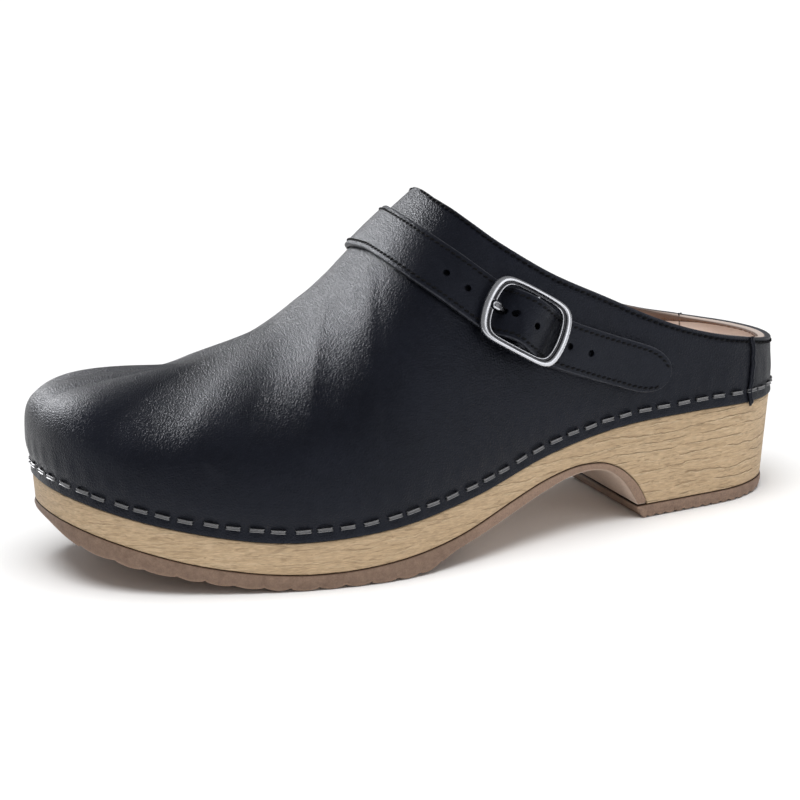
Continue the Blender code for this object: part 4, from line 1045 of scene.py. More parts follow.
# ---- sole -----------------------------------------------------------------------------
class Sole:
    """Sections across the shoe at equal stations of its two sides."""

    def __init__(self, extra=()):
        more = np.array([x for x in extra if 1.0 < x < LENGTH - 1.0])
        more_u = np.interp(more, HALVES[0][:, 0], np.linspace(0, 1, len(HALVES[0])))
        u = np.unique(np.concatenate([np.linspace(0.0, 1.0, 560), more_u]))
        outer = rim(0, u)
        ends = HALVES[1]
        inner_u = np.interp(outer[:, 0], ends[:, 0], np.linspace(0.0, 1.0, len(ends)))
        inner_u[0], inner_u[-1] = 0.0, 1.0
        self.plan = np.stack([outer, rim(1, inner_u)])
        self.inward = np.stack([self.find_inward(0, u), self.find_inward(1, inner_u)])
        self.count = len(u)

    @staticmethod
    def find_inward(side, u):
        near = 0.0012
        ahead = rim(side, np.minimum(u + near, 1.0))
        behind = rim(side, np.maximum(u - near, 0.0))
        behind[0] = rim(1 - side, near)
        ahead[-1] = rim(1 - side, 1.0 - near)
        tangent = unit(ahead - behind)
        return (1.0 if side == 0 else -1.0) * np.column_stack([-tangent[:, 1], tangent[:, 0]])

    def edge(self, side, inset):
        return self.plan[side] + self.inward[side] * np.broadcast_to(inset, (self.count,))[:, None]

    def loft(self, walls, low, high, columns, keep=None):
        """Closed loft: walls is a list of (inset, height) rows, functions of station.

        low and high give the underside and top over plan points, or None for flat spans.
        """
        rings = []
        for side in (0, 1):
            rows = []
            for inset, height in walls:
                plan = self.edge(side, inset(self.plan[side][:, 0]))
                rows.append(np.column_stack([plan, height(plan[:, 0])]))
            rings.append(np.array(rows))
        share = np.linspace(0.0, 1.0, columns + 2)[1:-1]

        def span(a, b, surface):
            rows = []
            for t in share:
                plan = a[:, :2] * (1 - t) + b[:, :2] * t
                height = a[:, 2] * (1 - t) + b[:, 2] * t
                if surface is not None:
                    height = surface(plan, t)
                rows.append(np.column_stack([plan, height]))
            return rows

        outer, inner = rings
        loop = list(outer) + span(outer[-1], inner[-1], low) + list(inner[::-1])
        loop += span(inner[0], outer[0], high)
        loop = np.array(loop).transpose(1, 0, 2)
        if keep is not None:
            loop = loop[keep(self.plan[0][:, 0])]
        rows, size = loop.shape[:2]
        faces = grid_quads(rows, size, wrap=True).tolist()
        faces.append(list(range(size))[::-1])
        faces.append([(rows - 1) * size + k for k in range(size)])
        return loop.reshape(-1, 3), faces


def wood_bottom(x):
    """Height of the wood's underside: the arch, then the flat heel seat."""
    low = smooth(WOOD_LINE, x)
    return np.where(x < WOOD_LINE[-1][0], low, HEEL_SEAT)


def wood_top(x):
    """Height of the wood's outer edge, under the leather."""
    return smooth(STAPLE_LINE, x) - EDGE_BELOW_STAPLES


def constant(value):
    """A function of station that has one value everywhere."""
    return lambda x: np.full(np.shape(x), float(value))


def wall_inset(level, proud=0.0):
    """Inset of the tapered wall at a height function."""
    def inset(x):
        edge = wood_top(x)
        share = (edge - level(x)) / (edge + 4.0)
        return WOOD_INSET - proud + straight(TAPER, x) * share
    return inset


def add(function, amount):
    return lambda x: function(x) + amount


def lerp(a, b, t):
    """Blend of two functions of station."""
    return lambda x: a(x) * (1 - t) + b(x) * t


ROUNDING = (30.0, 60.0, 90.0)      # turns of a rounded edge's rows, in degrees


def make_wood():
    """Carved sole: broad tapered wall with softly broken edges."""
    sole = Sole(np.arange(188.0, 209.0, 0.4))
    rim_rise = 3.0             # the rim stands this high inside the leather
    shelf = 2.4                # inset of a row on the flat under the leather
    top_round = 0.25
    top_drop = 0.3
    round_edge = 0.55          # rounding of the lower edge
    walls = [(constant(LEDGE), add(wood_top, rim_rise)), (constant(LEDGE), wood_top),
             (constant(shelf), wood_top), (constant(WOOD_INSET + top_round), wood_top)]
    for turn in ROUNDING:
        angle = math.radians(turn)
        level = add(wood_top, -top_drop * (1 - math.cos(angle)) - 0.01)
        walls.append((constant(WOOD_INSET + top_round * (1 - math.sin(angle))), level))
    top = add(wood_top, -0.4)
    bottom = add(wood_bottom, round_edge)
    for t in np.linspace(0.0, 1.0, 12)[1:]:
        level = lerp(top, bottom, t)
        walls.append((wall_inset(level), level))
    for turn in ROUNDING:
        angle = math.radians(turn)
        level = add(wood_bottom, round_edge * (1 - math.sin(angle)))
        rounding = round_edge * (1 - math.cos(angle))
        base = wall_inset(level)
        walls.append((lambda x, b=base, r=rounding: b(x) + r, level))
    vertices, faces = sole.loft(walls, lambda plan, t: wood_bottom(plan[:, 0]), None, 10)
    build("wooden_sole_shown", vertices, faces, MATS["wood"], replaces=("wooden_sole",),
          slot="light_wood", merge=0.004, sharp=50)


def tread(first, last, pitch, depth):
    """Scalloped tread: its depth over plan points, and the stations that shape it."""
    edges = np.arange(first, last - 0.5 * pitch, pitch)

    def cut_depth(x):
        phase = np.mod(x - first, pitch) / pitch
        arc = 1.0 - np.sqrt(np.maximum(1.0 - (2.0 * phase - 1.0) ** 2, 0.0))
        uneven = 0.75 + 0.25 * np.sin(np.floor((x - first) / pitch) * 2.4)
        inside = (x > first) & (x < edges[-1] + pitch)
        return depth * uneven * arc ** 0.8 * inside

    stations = [e + pitch * d for e in edges for d in (0.0, 0.03, 0.08, 0.16, 0.3, 0.5, 0.7,
                                                       0.84, 0.92, 0.97)]
    return cut_depth, stations


def vertex_places(mesh):
    """Its vertices in metres in the frame."""
    places = np.zeros(3 * len(mesh.vertices))
    mesh.vertices.foreach_get("co", places)
    return places.reshape(-1, 3)


def stations_and_heights(mesh):
    """Stations and heights of its vertices, in millimetres."""
    places = vertex_places(mesh) / MM + [ORIGIN_FROM_TOE, 0.0, 0.0]
    return places[:, 0], places[:, 2]


SEAM_GAP = 0.12                    # between the wood and the rubber


def rubber_walls(top, bottom, inset_top, softness, steps):
    """Rows of a rubber wall: flat top, softened upper edge, bulged side, rounded foot."""
    proud = 0.25               # the rubber stands this far out from the wood's wall
    bulge = 0.22
    edge_round = 0.45
    edge_drop = 0.35
    walls = [(constant(inset_top), top), (wall_inset(top, -proud), top)]
    for turn in (45.0, 90.0):
        angle = math.radians(turn)
        level = add(top, -edge_drop * (1 - math.cos(angle)) - 0.02)
        base = wall_inset(level, proud)
        rounding = edge_round * (1 - math.sin(angle))
        walls.append((lambda x, b=base, r=rounding: b(x) + r, level))
    foot = lambda x: bottom(x) + np.minimum(softness, 0.3 * (top(x) - bottom(x)))
    shoulder = add(top, -0.40)
    for t in np.linspace(0.0, 1.0, steps)[1:]:
        level = lerp(shoulder, foot, t)
        base = wall_inset(level, proud)
        walls.append((lambda x, b=base, r=bulge * math.sin(math.pi * t): b(x) - r, level))
    for turn in ROUNDING:
        angle = math.radians(turn)
        level = lambda x, v=math.sin(angle): bottom(x) + (foot(x) - bottom(x)) * (1 - v)
        base = wall_inset(level, proud)
        walls.append((lambda x, b=base, r=softness * (1 - math.cos(angle)): b(x) + r, level))
    return walls


def seam_share(below_top):
    """1 at a rubber wall's top, where it meets the wood, fading out just below."""
    return np.clip(1.0 - (below_top - 0.05) / 0.35, 0, 1)


def make_outsole():
    """Brown rubber: scalloped forefoot tread, thin waist and the heel's smooth breast."""
    tread_start, tread_end = 8.0, 122.0
    waist_start, waist_fade = 128.0, 8.0
    cut_depth, stations = tread(tread_start, tread_end, *TREAD)
    sole = Sole(list(stations) + list(np.arange(184.0, 204.8, 0.4)))

    def top(x):
        return smooth(WOOD_LINE, x) - SEAM_GAP

    def bottom(x):
        plain = np.maximum(smooth(GROUND_LINE, x), 0.0)
        return np.minimum(plain + cut_depth(x), top(x) - 0.4)

    vertices, faces = sole.loft(rubber_walls(top, bottom, 4.0, 0.55, 8),
                                lambda plan, t: bottom(plan[:, 0]), None, 22,
                                keep=lambda x: x <= WOOD_LINE[-1][0] - 0.7)
    obj = build("outsole_shown", vertices, faces, MATS["rubber"],
                replaces=("forefoot_outsole",), slot="brown_rubber", merge=0.004, sharp=38)
    x, z = stations_and_heights(obj.data)
    over = z - bottom(x)
    waist = np.clip((x - waist_start) / waist_fade, 0, 1)
    tag(obj.data, "seam", seam_share(top(x) - z))
    # edge: painted highlight along the tread's lower edge and over the waist; smooth: the waist's
    # underside, paler, partly painted light.
    tag(obj.data, "edge", 0.6 * bell(over, 0.6) * (1 - waist) + 0.45 * waist)
    tag(obj.data, "smooth", waist * bell(np.maximum(over, 0.0), 0.25))


def make_lift():
    """Heel lift with its own close tread."""
    cut_depth, stations = tread(HEEL_FRONT + 1.2, LENGTH - 3.0, *HEEL_TREAD)
    front = HEEL_FRONT - HEEL_RAKE
    sole = Sole(list(stations) + [front + 0.01, front + 0.3, front + 0.7])
    ground = [(front, 3.9), (front + 0.3, 3.2), (HEEL_FRONT - 0.3, 0.25),
              (HEEL_FRONT + 0.3, 0.0), (LENGTH - 16, 0.0), (LENGTH - 4, 1.4),
              (LENGTH + 4, 3.2)]

    def top(x):
        return np.full(np.shape(x), HEEL_SEAT - SEAM_GAP)

    def bottom(x):
        return straight(ground, x) + cut_depth(x)

    vertices, faces = sole.loft(rubber_walls(top, bottom, 8.0, 0.45, 6),
                                lambda plan, t: bottom(plan[:, 0]), None, 18,
                                keep=lambda x: x >= front)
    obj = build("heel_lift_shown", vertices, faces, MATS["lift"], replaces=("heel_lift",),
                slot="brown_rubber", merge=0.004, sharp=38)
    x, z = stations_and_heights(obj.data)
    tag(obj.data, "seam", seam_share(top(x) - z))
    # Painted highlight along the lift's lower edge.
    tag(obj.data, "edge", 0.4 * bell(z - bottom(x), 0.5))


def make_sock():
    """Leather-covered footbed: raised rim, heel cup and a stitched border."""
    sole = Sole()
    inset = LEDGE + 1.2
    half_thick = 0.6
    stitch_inset = 3.2

    def level(x):
        return smooth(STAPLE_LINE, x) + RIM_ABOVE_STAPLES + 2 * GAP

    def surface(plan, t):
        x = plan[:, 0]
        bowl = np.sin(math.pi * t) ** 0.8
        cup = straight([(0, 0.2), (60, 0.5), (150, 0.6), (200, 0.9), (240, 1.1), (268, 0.3)], x)
        tip = np.minimum(x, LENGTH - x)
        fade = np.clip((tip - 7.0) / 16.0, 0, 1)
        return level(x) + 2 * half_thick - cup * bowl * fade * 0.9

    walls = []
    for turn in (90.0, 60.0, 30.0, 0.0, -30.0, -60.0, -90.0):
        angle = math.radians(turn)
        walls.append((constant(inset + half_thick * (1 - math.cos(angle))),
                      add(level, half_thick + half_thick * math.sin(angle))))
    vertices, faces = sole.loft(walls, lambda plan, t: level(plan[:, 0]), surface, 26)
    build("sock_lining_shown", vertices, faces, MATS["sock"], replaces=("sock_lining",),
          slot="sock_leather", merge=0.004, sharp=50)
    parts = []
    for side in (0, 1):
        plan = sole.edge(side, inset + stitch_inset)
        plan = plan[plan[:, 0] > 25]
        line = np.column_stack([plan, level(plan[:, 0]) + 1.14])
        out = np.tile([0.0, 0.0, 1.0], (len(line), 1))
        parts.append(stitches(line, out, 2.6, 1.1, 0.28, sink=0.45))
    build("sock_stitches", *combine(parts), MATS["pale_thread"], slot="sock_leather", sharp=60)


# ---- staples --------------------------------------------------------------------------
STAPLE_OUTLINE = [                # section of the wire: across the row, outward
    (-0.62, -0.20), (-0.62, 0.12), (-0.57, 0.21), (-0.47, 0.24), (-0.37, 0.18),
    (-0.28, 0.05), (0.28, 0.05), (0.37, 0.18), (0.47, 0.24), (0.57, 0.21),
    (0.62, 0.12), (0.62, -0.20), (0.5, -0.26), (-0.5, -0.26)]


def staple(s, jitter):
    """One staple: grooved flat crown with painted shade in the groove, and two legs that go into
    the leather.
    """
    point, along, out = PATH.axes(s)
    up = np.cross(out, along)
    up = up if up[2] > 0 else -up
    tilt, rise, crown_half = 0.05, 0.22, 2.35
    leg_depth = 1.9
    turn = tilt * jitter[0]
    along, up = (along * math.cos(turn) + up * math.sin(turn),
                 up * math.cos(turn) - along * math.sin(turn))
    point = point + up * (rise * jitter[1])
    half = crown_half + 0.08 * jitter[2]
    bend = 0.45
    lift = 0.36 + 0.06 * jitter[1]
    route = [(-half, -leg_depth), (-half, lift - bend)]
    for turn in np.radians([22.5, 45.0, 67.5, 90.0]):
        route.append((-half + bend * (1 - math.cos(turn)), lift - bend * (1 - math.sin(turn))))
    crown = np.linspace(-half + bend, half - bend, 6)[1:-1]
    route += [(c, lift + 0.05 * (1 - (c / half) ** 2)) for c in crown]
    route += [(-a, b) for a, b in route[5::-1]]
    route = np.array(route)
    tangent = unit(np.gradient(route, axis=0))
    vertices = []
    for (a, b), (ta, tb) in zip(route, tangent):
        centre = point + along * a + out * b
        normal = along * -tb + out * ta
        for v, d in STAPLE_OUTLINE:
            vertices.append(centre + up * v + normal * d)
    faces = capped_tube(len(route), len(STAPLE_OUTLINE))
    # Painted shade in the groove along the top of the crown.
    dark = [0.6 if abs(v) < 0.3 and d > 0 else 0.0 for v, d in STAPLE_OUTLINE]
    return np.array(vertices), faces, np.tile(dark, len(route))


def make_staples():
    random = np.random.default_rng(7)
    jitter = random.uniform(-1.0, 1.0, (len(CENTRES), 4))
    slip = 0.7                 # how far a staple may sit from its even place
    bounds = [(0.0, 0.10, "toe_outer"), (0.10, 0.44, "outer"), (0.44, 0.56, "heel"),
              (0.56, 0.90, "inner"), (0.90, 1.0, "toe_inner")]
    for low, high, name in bounds:
        parts = [staple(s + slip * j[3], j) for s, j in zip(CENTRES, jitter)
                 if low <= s / PATH.length < high]
        vertices, faces = combine([part[:2] for part in parts])
        obj = build(f"staples_{name}_shown", vertices, faces, MATS["steel"],
                    replaces=("staples_" + name,), slot="staple_steel", sharp=30)
        tag(obj.data, "recess_shade", np.concatenate([part[2] for part in parts]))


# ---- straps ---------------------------------------------------------------------------
class StrapSurface:
    """The upper under the strap as a table: s along the strap, w across it."""

    STEP = 0.5

    def __init__(self):
        face = Face(np.linspace(0.0, 1.0, 101), lambda t: np.linspace(1.5, t, 50),
                    trimmed=False, foot_rows=2)
        quads, points = [], []
        for side in (0, 1):
            pts = face.points[side]
            quads.append(grid_quads(*pts.shape[:2]) + side * pts.shape[0] * pts.shape[1])
            points.append(pts.reshape(-1, 3))
        tree = BVHTree.FromPolygons(np.vstack(points).tolist(), np.vstack(quads).tolist())
        normal = np.array([math.sin(STRAP_TILT), 0.0, math.cos(STRAP_TILT)])
        up = np.array([-math.cos(STRAP_TILT), 0.0, math.sin(STRAP_TILT)])
        out = np.array([0.0, -1.0, 0.0])
        angles = np.radians(np.arange(-152.0, 152.5, 0.75))
        rays = np.cos(angles)[:, None] * up + np.sin(angles)[:, None] * out
        self.w = np.arange(-19.0, 19.25, self.STEP)
        self.s = np.arange(-135.0, 150.0, self.STEP)
        lines = []
        for w in self.w:
            start = Vector(np.array(STRAP_CENTRE) + normal * w)
            found = []
            for angle, ray in zip(angles, rays):
                hit = tree.ray_cast(start, Vector(ray))[0]
                if hit is not None:
                    found.append((angle, *hit))
            lines.append(np.array(found))
        bow = float(smooth(STRAP_BOW, BUCKLE_AT))
        line = lines[int(np.argmin(np.abs(self.w - bow)))]
        zero = np.interp(0.0, line[:, 0], lengths_along(line[:, 1:]))
        here = lengths_along(line[:, 1:]) - zero
        behind, centre, ahead = between(np.array([BUCKLE_AT - 3, BUCKLE_AT, BUCKLE_AT + 3]),
                                        here, line[:, 1:])
        along = unit(ahead - behind)
        table = []
        for line in lines:
            reach = (line[:, 1:] - centre) @ along
            past = int(np.argmax((line[:, 0] > 0.5) & (reach > 0)))
            lengths = lengths_along(line[:, 1:])
            share = reach[past] / (reach[past] - reach[past - 1])
            zero = lengths[past] - share * (lengths[past] - lengths[past - 1]) - BUCKLE_AT
            table.append(between(self.s, lengths - zero, line[:, 1:]))
        self.table = self.blur(np.array(table))
        step_w, step_s = np.gradient(self.table, axis=(0, 1))
        normals = unit(np.cross(step_w, step_s))
        inside = np.sum(normals * (self.table - np.array(STRAP_CENTRE)), axis=2) < 0
        normals[inside] *= -1
        self.normals = unit(self.blur(normals, 4))

    @staticmethod
    def blur(table, times=2):
        for _ in range(times):
            table = table.copy()
            table[1:-1] = (table[:-2] + 2 * table[1:-1] + table[2:]) / 4
            table[:, 1:-1] = (table[:, :-2] + 2 * table[:, 1:-1] + table[:, 2:]) / 4
        return table

    def look_up(self, table, s, w):
        w = w + smooth(STRAP_BOW, np.abs(s))
        a = np.clip((w - self.w[0]) / self.STEP, 0, len(self.w) - 1.001)
        b = np.clip((s - self.s[0]) / self.STEP, 0, len(self.s) - 1.001)
        i, j = a.astype(int), b.astype(int)
        fa, fb = (a - i)[..., None], (b - j)[..., None]
        return ((1 - fa) * (1 - fb) * table[i, j] + fa * (1 - fb) * table[i + 1, j]
                + (1 - fa) * fb * table[i, j + 1] + fa * fb * table[i + 1, j + 1])

    def point(self, s, w, h):
        s, w, h = np.broadcast_arrays(np.asarray(s, float), np.asarray(w, float),
                                      np.asarray(h, float))
        return self.look_up(self.table, s, w) + self.out(s, w) * h[..., None]

    def out(self, s, w):
        s, w = np.broadcast_arrays(np.asarray(s, float), np.asarray(w, float))
        return unit(self.look_up(self.normals, s, w))

    def frame(self, s, w, reach=3.0):
        base = self.point(s, w, 0.0)
        along = unit(self.point(s + reach, w, 0.0) - self.point(s - reach, w, 0.0))
        across = self.point(s, w + reach, 0.0) - self.point(s, w - reach, 0.0)
        out = unit(np.cross(across, along))
        if out @ (base - np.array(STRAP_CENTRE)) < 0:
            out = -out
        return base, along, np.cross(out, along), out


def band(surface, s_values, bottom, top, half, columns=16, edge_round=0.55):
    """A rounded strap between two heights, as one capped loft, and its edge values."""
    share = np.linspace(-1.0, 1.0, columns + 1)
    crown = 0.10
    rings, edges = [], []
    for s in s_values:
        lo, hi, reach = float(bottom(s)), float(top(s)), float(half(s))
        r = min(edge_round, 0.45 * (hi - lo), 0.45 * reach)
        flat = reach - r
        foot = 0.35 * r
        side = []                                  # across, height, and how much paler, wear and painted highlight
        for turn, wear_and_sheen in ((60, 0.7), (30, 1.0), (0, 0.2)):
            turn = math.radians(turn)
            side.append((flat + r * math.cos(turn), hi - r + r * math.sin(turn), wear_and_sheen))
        for turn in np.radians([0, -45]):
            side.append((flat + r * math.cos(turn), lo + foot + foot * math.sin(turn), 0.15))
        loop = [(t * flat, hi + crown * (1 - t * t), 0.0) for t in share] + side
        loop += [(t * flat, lo, 0.0) for t in (0.98, 0.5, 0.0, -0.5, -0.98)]
        loop += [(-across, height, wear_and_sheen) for across, height, wear_and_sheen in side[::-1]]
        loop = np.array(loop)
        rings.append(surface.point(np.full(len(loop), s), loop[:, 0], loop[:, 1]))
        edges.append(loop[:, 2])
    return np.vstack(rings), capped_tube(len(rings), len(rings[0])), np.concatenate(edges)


def strap_underside(s):
    """Height of the strap's lower face: on the leather, then over bar and anchor."""
    ride = ANCHOR_THICKNESS + STRAP_GAP + GAP
    over = BAR_HEIGHT + LOOP_RADIUS + GAP
    knots = [(-400, STRAP_GAP), (-15.0, STRAP_GAP), (-12.8, STRAP_GAP), (-11.4, 0.6),
             (-10.2, 1.3), (-9.0, 2.8), (-7.6, 4.7), (-5.0, 6.9), (0.0, over), (4.5, 6.6),
             (7.5, 4.4), (9.5, ride + 0.6), (11.5, ride), (14.0, ride), (400, ride)]
    return float(smooth(knots, s - BUCKLE_AT))


def strap_top(s):
    return strap_underside(s) + STRAP_THICKNESS


def strap_half_width(s):
    from_tip = min(STRAP_TIP - s, s - STRAP_INNER_END)
    if from_tip >= TIP_ROUND:
        return STRAP_HALF
    turn = 1.0 - max(from_tip, 0.0) / TIP_ROUND
    return STRAP_HALF * max(1.0 - turn ** 2.6, 0.02) ** (1 / 2.2)


def strap_stations():
    """Places along the strap for its sections, close at the ends and over the buckle."""
    ends = np.concatenate([[0.0, 0.12, 0.35, 0.7], np.linspace(1.2, 14.0, 22)])
    first = STRAP_INNER_END + ends
    last = (STRAP_TIP - ends)[::-1]
    fine_half = 17.0
    low, high = BUCKLE_AT - fine_half, BUCKLE_AT + fine_half
    return np.concatenate([first, np.linspace(first[-1], low, 190)[1:-1],
                           np.linspace(low, high, 100), np.linspace(high, last[0], 40)[1:-1],
                           last])


def border_lines(surface, inset):
    """Stitch lines along the strap's two borders, as points and outward directions."""
    s = np.linspace(STRAP_INNER_END, STRAP_TIP, 420)
    half = np.array([strap_half_width(v) for v in s]) - inset
    keep = (s < STRAP_TIP - inset - 0.05) & (s > STRAP_INNER_END + inset + 0.05)
    s, half = s[keep], np.maximum(half[keep], 0.0)
    heights = np.array([strap_top(v) + 0.02 for v in s])
    return [(surface.point(s, w, heights), surface.out(s, w)) for w in (half, -half)]


def make_strap(surface, axes):
    """The instep strap with punched holes and a stitched border."""
    vertices, faces, edge = band(surface, strap_stations(), strap_underside, strap_top,
                                 strap_half_width)
    obj = build("instep_strap_shown", vertices, faces, MATS["strap"],
                replaces=("instep_strap",), slot="black_leather", merge=0.002, edge=edge,
                sharp=50)
    tools = []
    for shift in HOLES:
        base, along, across, out = surface.frame(BUCKLE_AT + shift, 0.0)
        radii = (HOLE_RADIUS, HOLE_RADIUS)
        if shift == PRONG_HOLE:
            base = axes.point(shift, 0, 0)
            along, across, out = axes.along, axes.across, axes.out
            radii = PRONG_HOLE_RADII
        tools.append(cutter_cylinder(base, out, along, across, radii, (-2.0, 15.0)))
    cut(obj, tools)
    dent_holes(obj.data, surface)
    parts = [stitches(line, out, 1.7, 0.5, 0.36, sink=0.60, slant=0.6)
             for line, out in border_lines(surface, STITCH_INSET)]
    build("strap_stitches", *combine(parts), MATS["thread"], slot="black_leather", sharp=60)


def dent_holes(mesh, surface):
    """Pulls the leather in slightly round each punched hole."""
    dent = 0.28
    places = vertex_places(mesh)
    for s in [BUCKLE_AT + shift for shift in HOLES]:
        centre = to_world(surface.point(s, 0.0, strap_underside(s) + 1.0))
        far = np.linalg.norm(places - centre, axis=1) / MM
        places -= surface.out(s, 0.0) * (dent * MM * bell(far, 2.0, 4))[:, None]
    mesh.vertices.foreach_set("co", places.astype(np.float32).ravel())
    mesh.update()


def make_anchor(surface, axes):
    """Short strap that holds the buckle's bar, sewn to the outer side."""
    tall = BAR_HEIGHT + LOOP_RADIUS
    flat = ANCHOR_THICKNESS + STRAP_GAP
    end_length = 12.0

    def top(s):
        knots = [(-LOOP_RADIUS, 5.9), (-2.0, 6.9), (-1.0, tall - 0.2), (0.4, tall), (2.0, 7.0),
                 (4.0, 5.2), (6.0, 3.4), (8.0, flat + 0.4), (10.0, flat), (12.0, flat),
                 (400, flat)]
        return float(smooth(knots, s - BUCKLE_AT))

    def bottom(s):
        knots = [(-LOOP_RADIUS, 4.7), (-2.0, 3.7), (-1.0, 3.0), (0.4, 2.5), (3.0, 1.2),
                 (6.0, STRAP_GAP), (8.0, STRAP_GAP), (400, STRAP_GAP)]
        return float(smooth(knots, s - BUCKLE_AT)) - 0.35 * (s > BUCKLE_AT + 6)

    def half(s):
        left = (BUCKLE_AT + ANCHOR_END - s) / end_length
        return (ANCHOR_HALF + 0.5) * min(1.0, max(left, 0.02) ** 0.5)

    s_values = BUCKLE_AT + np.concatenate([
        np.linspace(-LOOP_RADIUS, 10.0, 34),
        np.linspace(10.0, ANCHOR_END - end_length, 40)[1:],
        ANCHOR_END - end_length * np.linspace(1, 0, 24)[1:] ** 1.5])
    vertices, faces, edge = band(surface, s_values, bottom, top, half)
    obj = build("anchor_strap_shown", vertices, faces, MATS["strap"],
                replaces=("anchor_strap",), slot="black_leather", merge=0.002, edge=edge,
                sharp=50)
    centre = axes.point(0.0, 0.0, BAR_HEIGHT)
    bore = cutter_cylinder(centre, axes.across, axes.along, axes.out, (BORE_RADIUS,) * 2,
                           (-15.0, 15.0))
    slot = cutter_cylinder(axes.point(-2.7, 0.0, 0.5), axes.out, axes.along, axes.across,
                           PRONG_SLOT_RADII, (0.0, 12.0))
    cut(obj, [bore, slot])


# ---- buckle ---------------------------------------------------------------------------
class BuckleAxes:
    """Straight axes at the buckle: along the strap, across it, and outward."""

    def __init__(self, surface):
        near = [surface.frame(BUCKLE_AT + shift, 0.0) for shift in (-12.0, 0.0, 12.0)]
        self.along = unit(near[2][0] - near[0][0])
        self.across = unit(np.cross(sum(f[3] for f in near), self.along))
        self.out = np.cross(self.along, self.across)
        if self.out @ near[1][3] < 0:
            self.out = -self.out
        base = near[1][0]
        drift = sum((f[0] - base) @ self.across for f in near) / 3.0
        self.base = base + self.across * drift

    def point(self, s, w, h):
        return (self.base + self.along * np.asarray(s)[..., None]
                + self.across * np.asarray(w)[..., None] + self.out * np.asarray(h)[..., None])


def bowed_loop(half_s, half_w, squareness, bow, count):
    """Rounded rectangle with nearly straight long sides and ends bowed outward."""
    turn = np.linspace(0.0, 2 * math.pi, 4 * count, endpoint=False)
    power = 2.0 / squareness
    s = half_s * np.sign(np.cos(turn)) * np.abs(np.cos(turn)) ** power
    w = half_w * np.sign(np.sin(turn)) * np.abs(np.sin(turn)) ** power
    s = s * (1 - bow * (w / half_w) ** 2)
    w = w * (1 - 0.035 * (s / half_s) ** 2)
    closed = np.column_stack([s, w])
    closed = np.vstack([closed, closed[:1]])
    even = np.linspace(0.0, lengths_along(closed)[-1], count, endpoint=False)
    return resample(closed, even)


def make_buckle(axes):
    """Satin frame with painted shade on its stepped inner edge, its centre bar, and the prong."""
    count = 240
    half_s, half_w = FRAME_HALF
    outer = bowed_loop(half_s, half_w, *OUTER_LOOP, count)
    hole = bowed_loop(half_s - FRAME_BAR - 0.4, half_w - FRAME_RAIL - 0.55, *INNER_LOOP,
                      8 * count)
    scale = np.array([(half_s - 4.2) / half_s, (half_w - 2.4) / half_w])
    inner = np.array([hole[np.argmin(np.linalg.norm(hole - p * scale, axis=1))] for p in outer])
    for _ in range(4):
        inner = (np.roll(inner, 1, axis=0) + 2 * inner + np.roll(inner, -1, axis=0)) / 4
    # section of the frame: share from outer to inner edge, height, and how much painted shade
    profile = [(0.10, 0.02, 0), (0.03, 0.16, 0), (0.0, 0.5, 0), (0.0, 1.05, 0), (0.03, 1.5, 0),
               (0.10, 1.82, 0), (0.20, 1.97, 0), (0.34, 2.02, 0), (0.46, 1.97, 0),
               (0.54, 1.84, 0), (0.58, 1.62, 0.7), (0.60, 1.20, 1), (0.64, 1.06, 1),
               (0.72, 1.04, 1), (0.80, 1.08, 1), (0.835, 1.24, 0.4), (0.87, 1.34, 0),
               (0.93, 1.36, 0), (0.98, 1.24, 0), (1.0, 0.90, 0.3), (1.0, 0.40, 1),
               (0.95, 0.08, 1), (0.8, 0.0, 0), (0.4, 0.0, 0)]
    rings = []
    for share, rise, _ in profile:
        loop = outer * (1 - share) + inner * share + [FRAME_SHIFT, 0.0]
        drop = loop[:, 0] ** 2 / (2 * FRAME_ARCH) - loop[:, 0] * FRAME_TILT
        rings.append(axes.point(loop[:, 0], loop[:, 1], FRAME_BOTTOM + rise - drop))
    vertices = np.array(rings).reshape(-1, 3)
    size = len(profile)
    quads = grid_quads(size + 1, count, wrap=True) % (size * count)
    obj = build("buckle_frame_shown", vertices, quads, MATS["silver"], body="buckle",
                replaces=("buckle_frame",), slot="satin_silver", sharp=60)
    tag(obj.data, "recess_shade", np.repeat([dark for _, _, dark in profile], count))
    notch_at = FRAME_SHIFT - (half_s - FRAME_BAR - 0.2)
    notch = cutter_cylinder(axes.point(notch_at, 0.0, 0.0), axes.out, axes.along,
                            axes.across, (NOTCH_RADIUS,) * 2, (-2.0, 14.0), 40)
    cut(obj, [notch])
    reach = half_w - FRAME_RAIL - 0.05
    line = axes.point(np.zeros(24), np.linspace(-reach, reach, 24), np.full(24, BAR_HEIGHT))
    build("buckle_bar_shown", *sweep(line, BAR_RADIUS, sides=28, up=tuple(axes.out)),
          MATS["silver"], body="buckle", replaces=("buckle_bar",), slot="satin_silver", sharp=50)
    make_prong(axes)


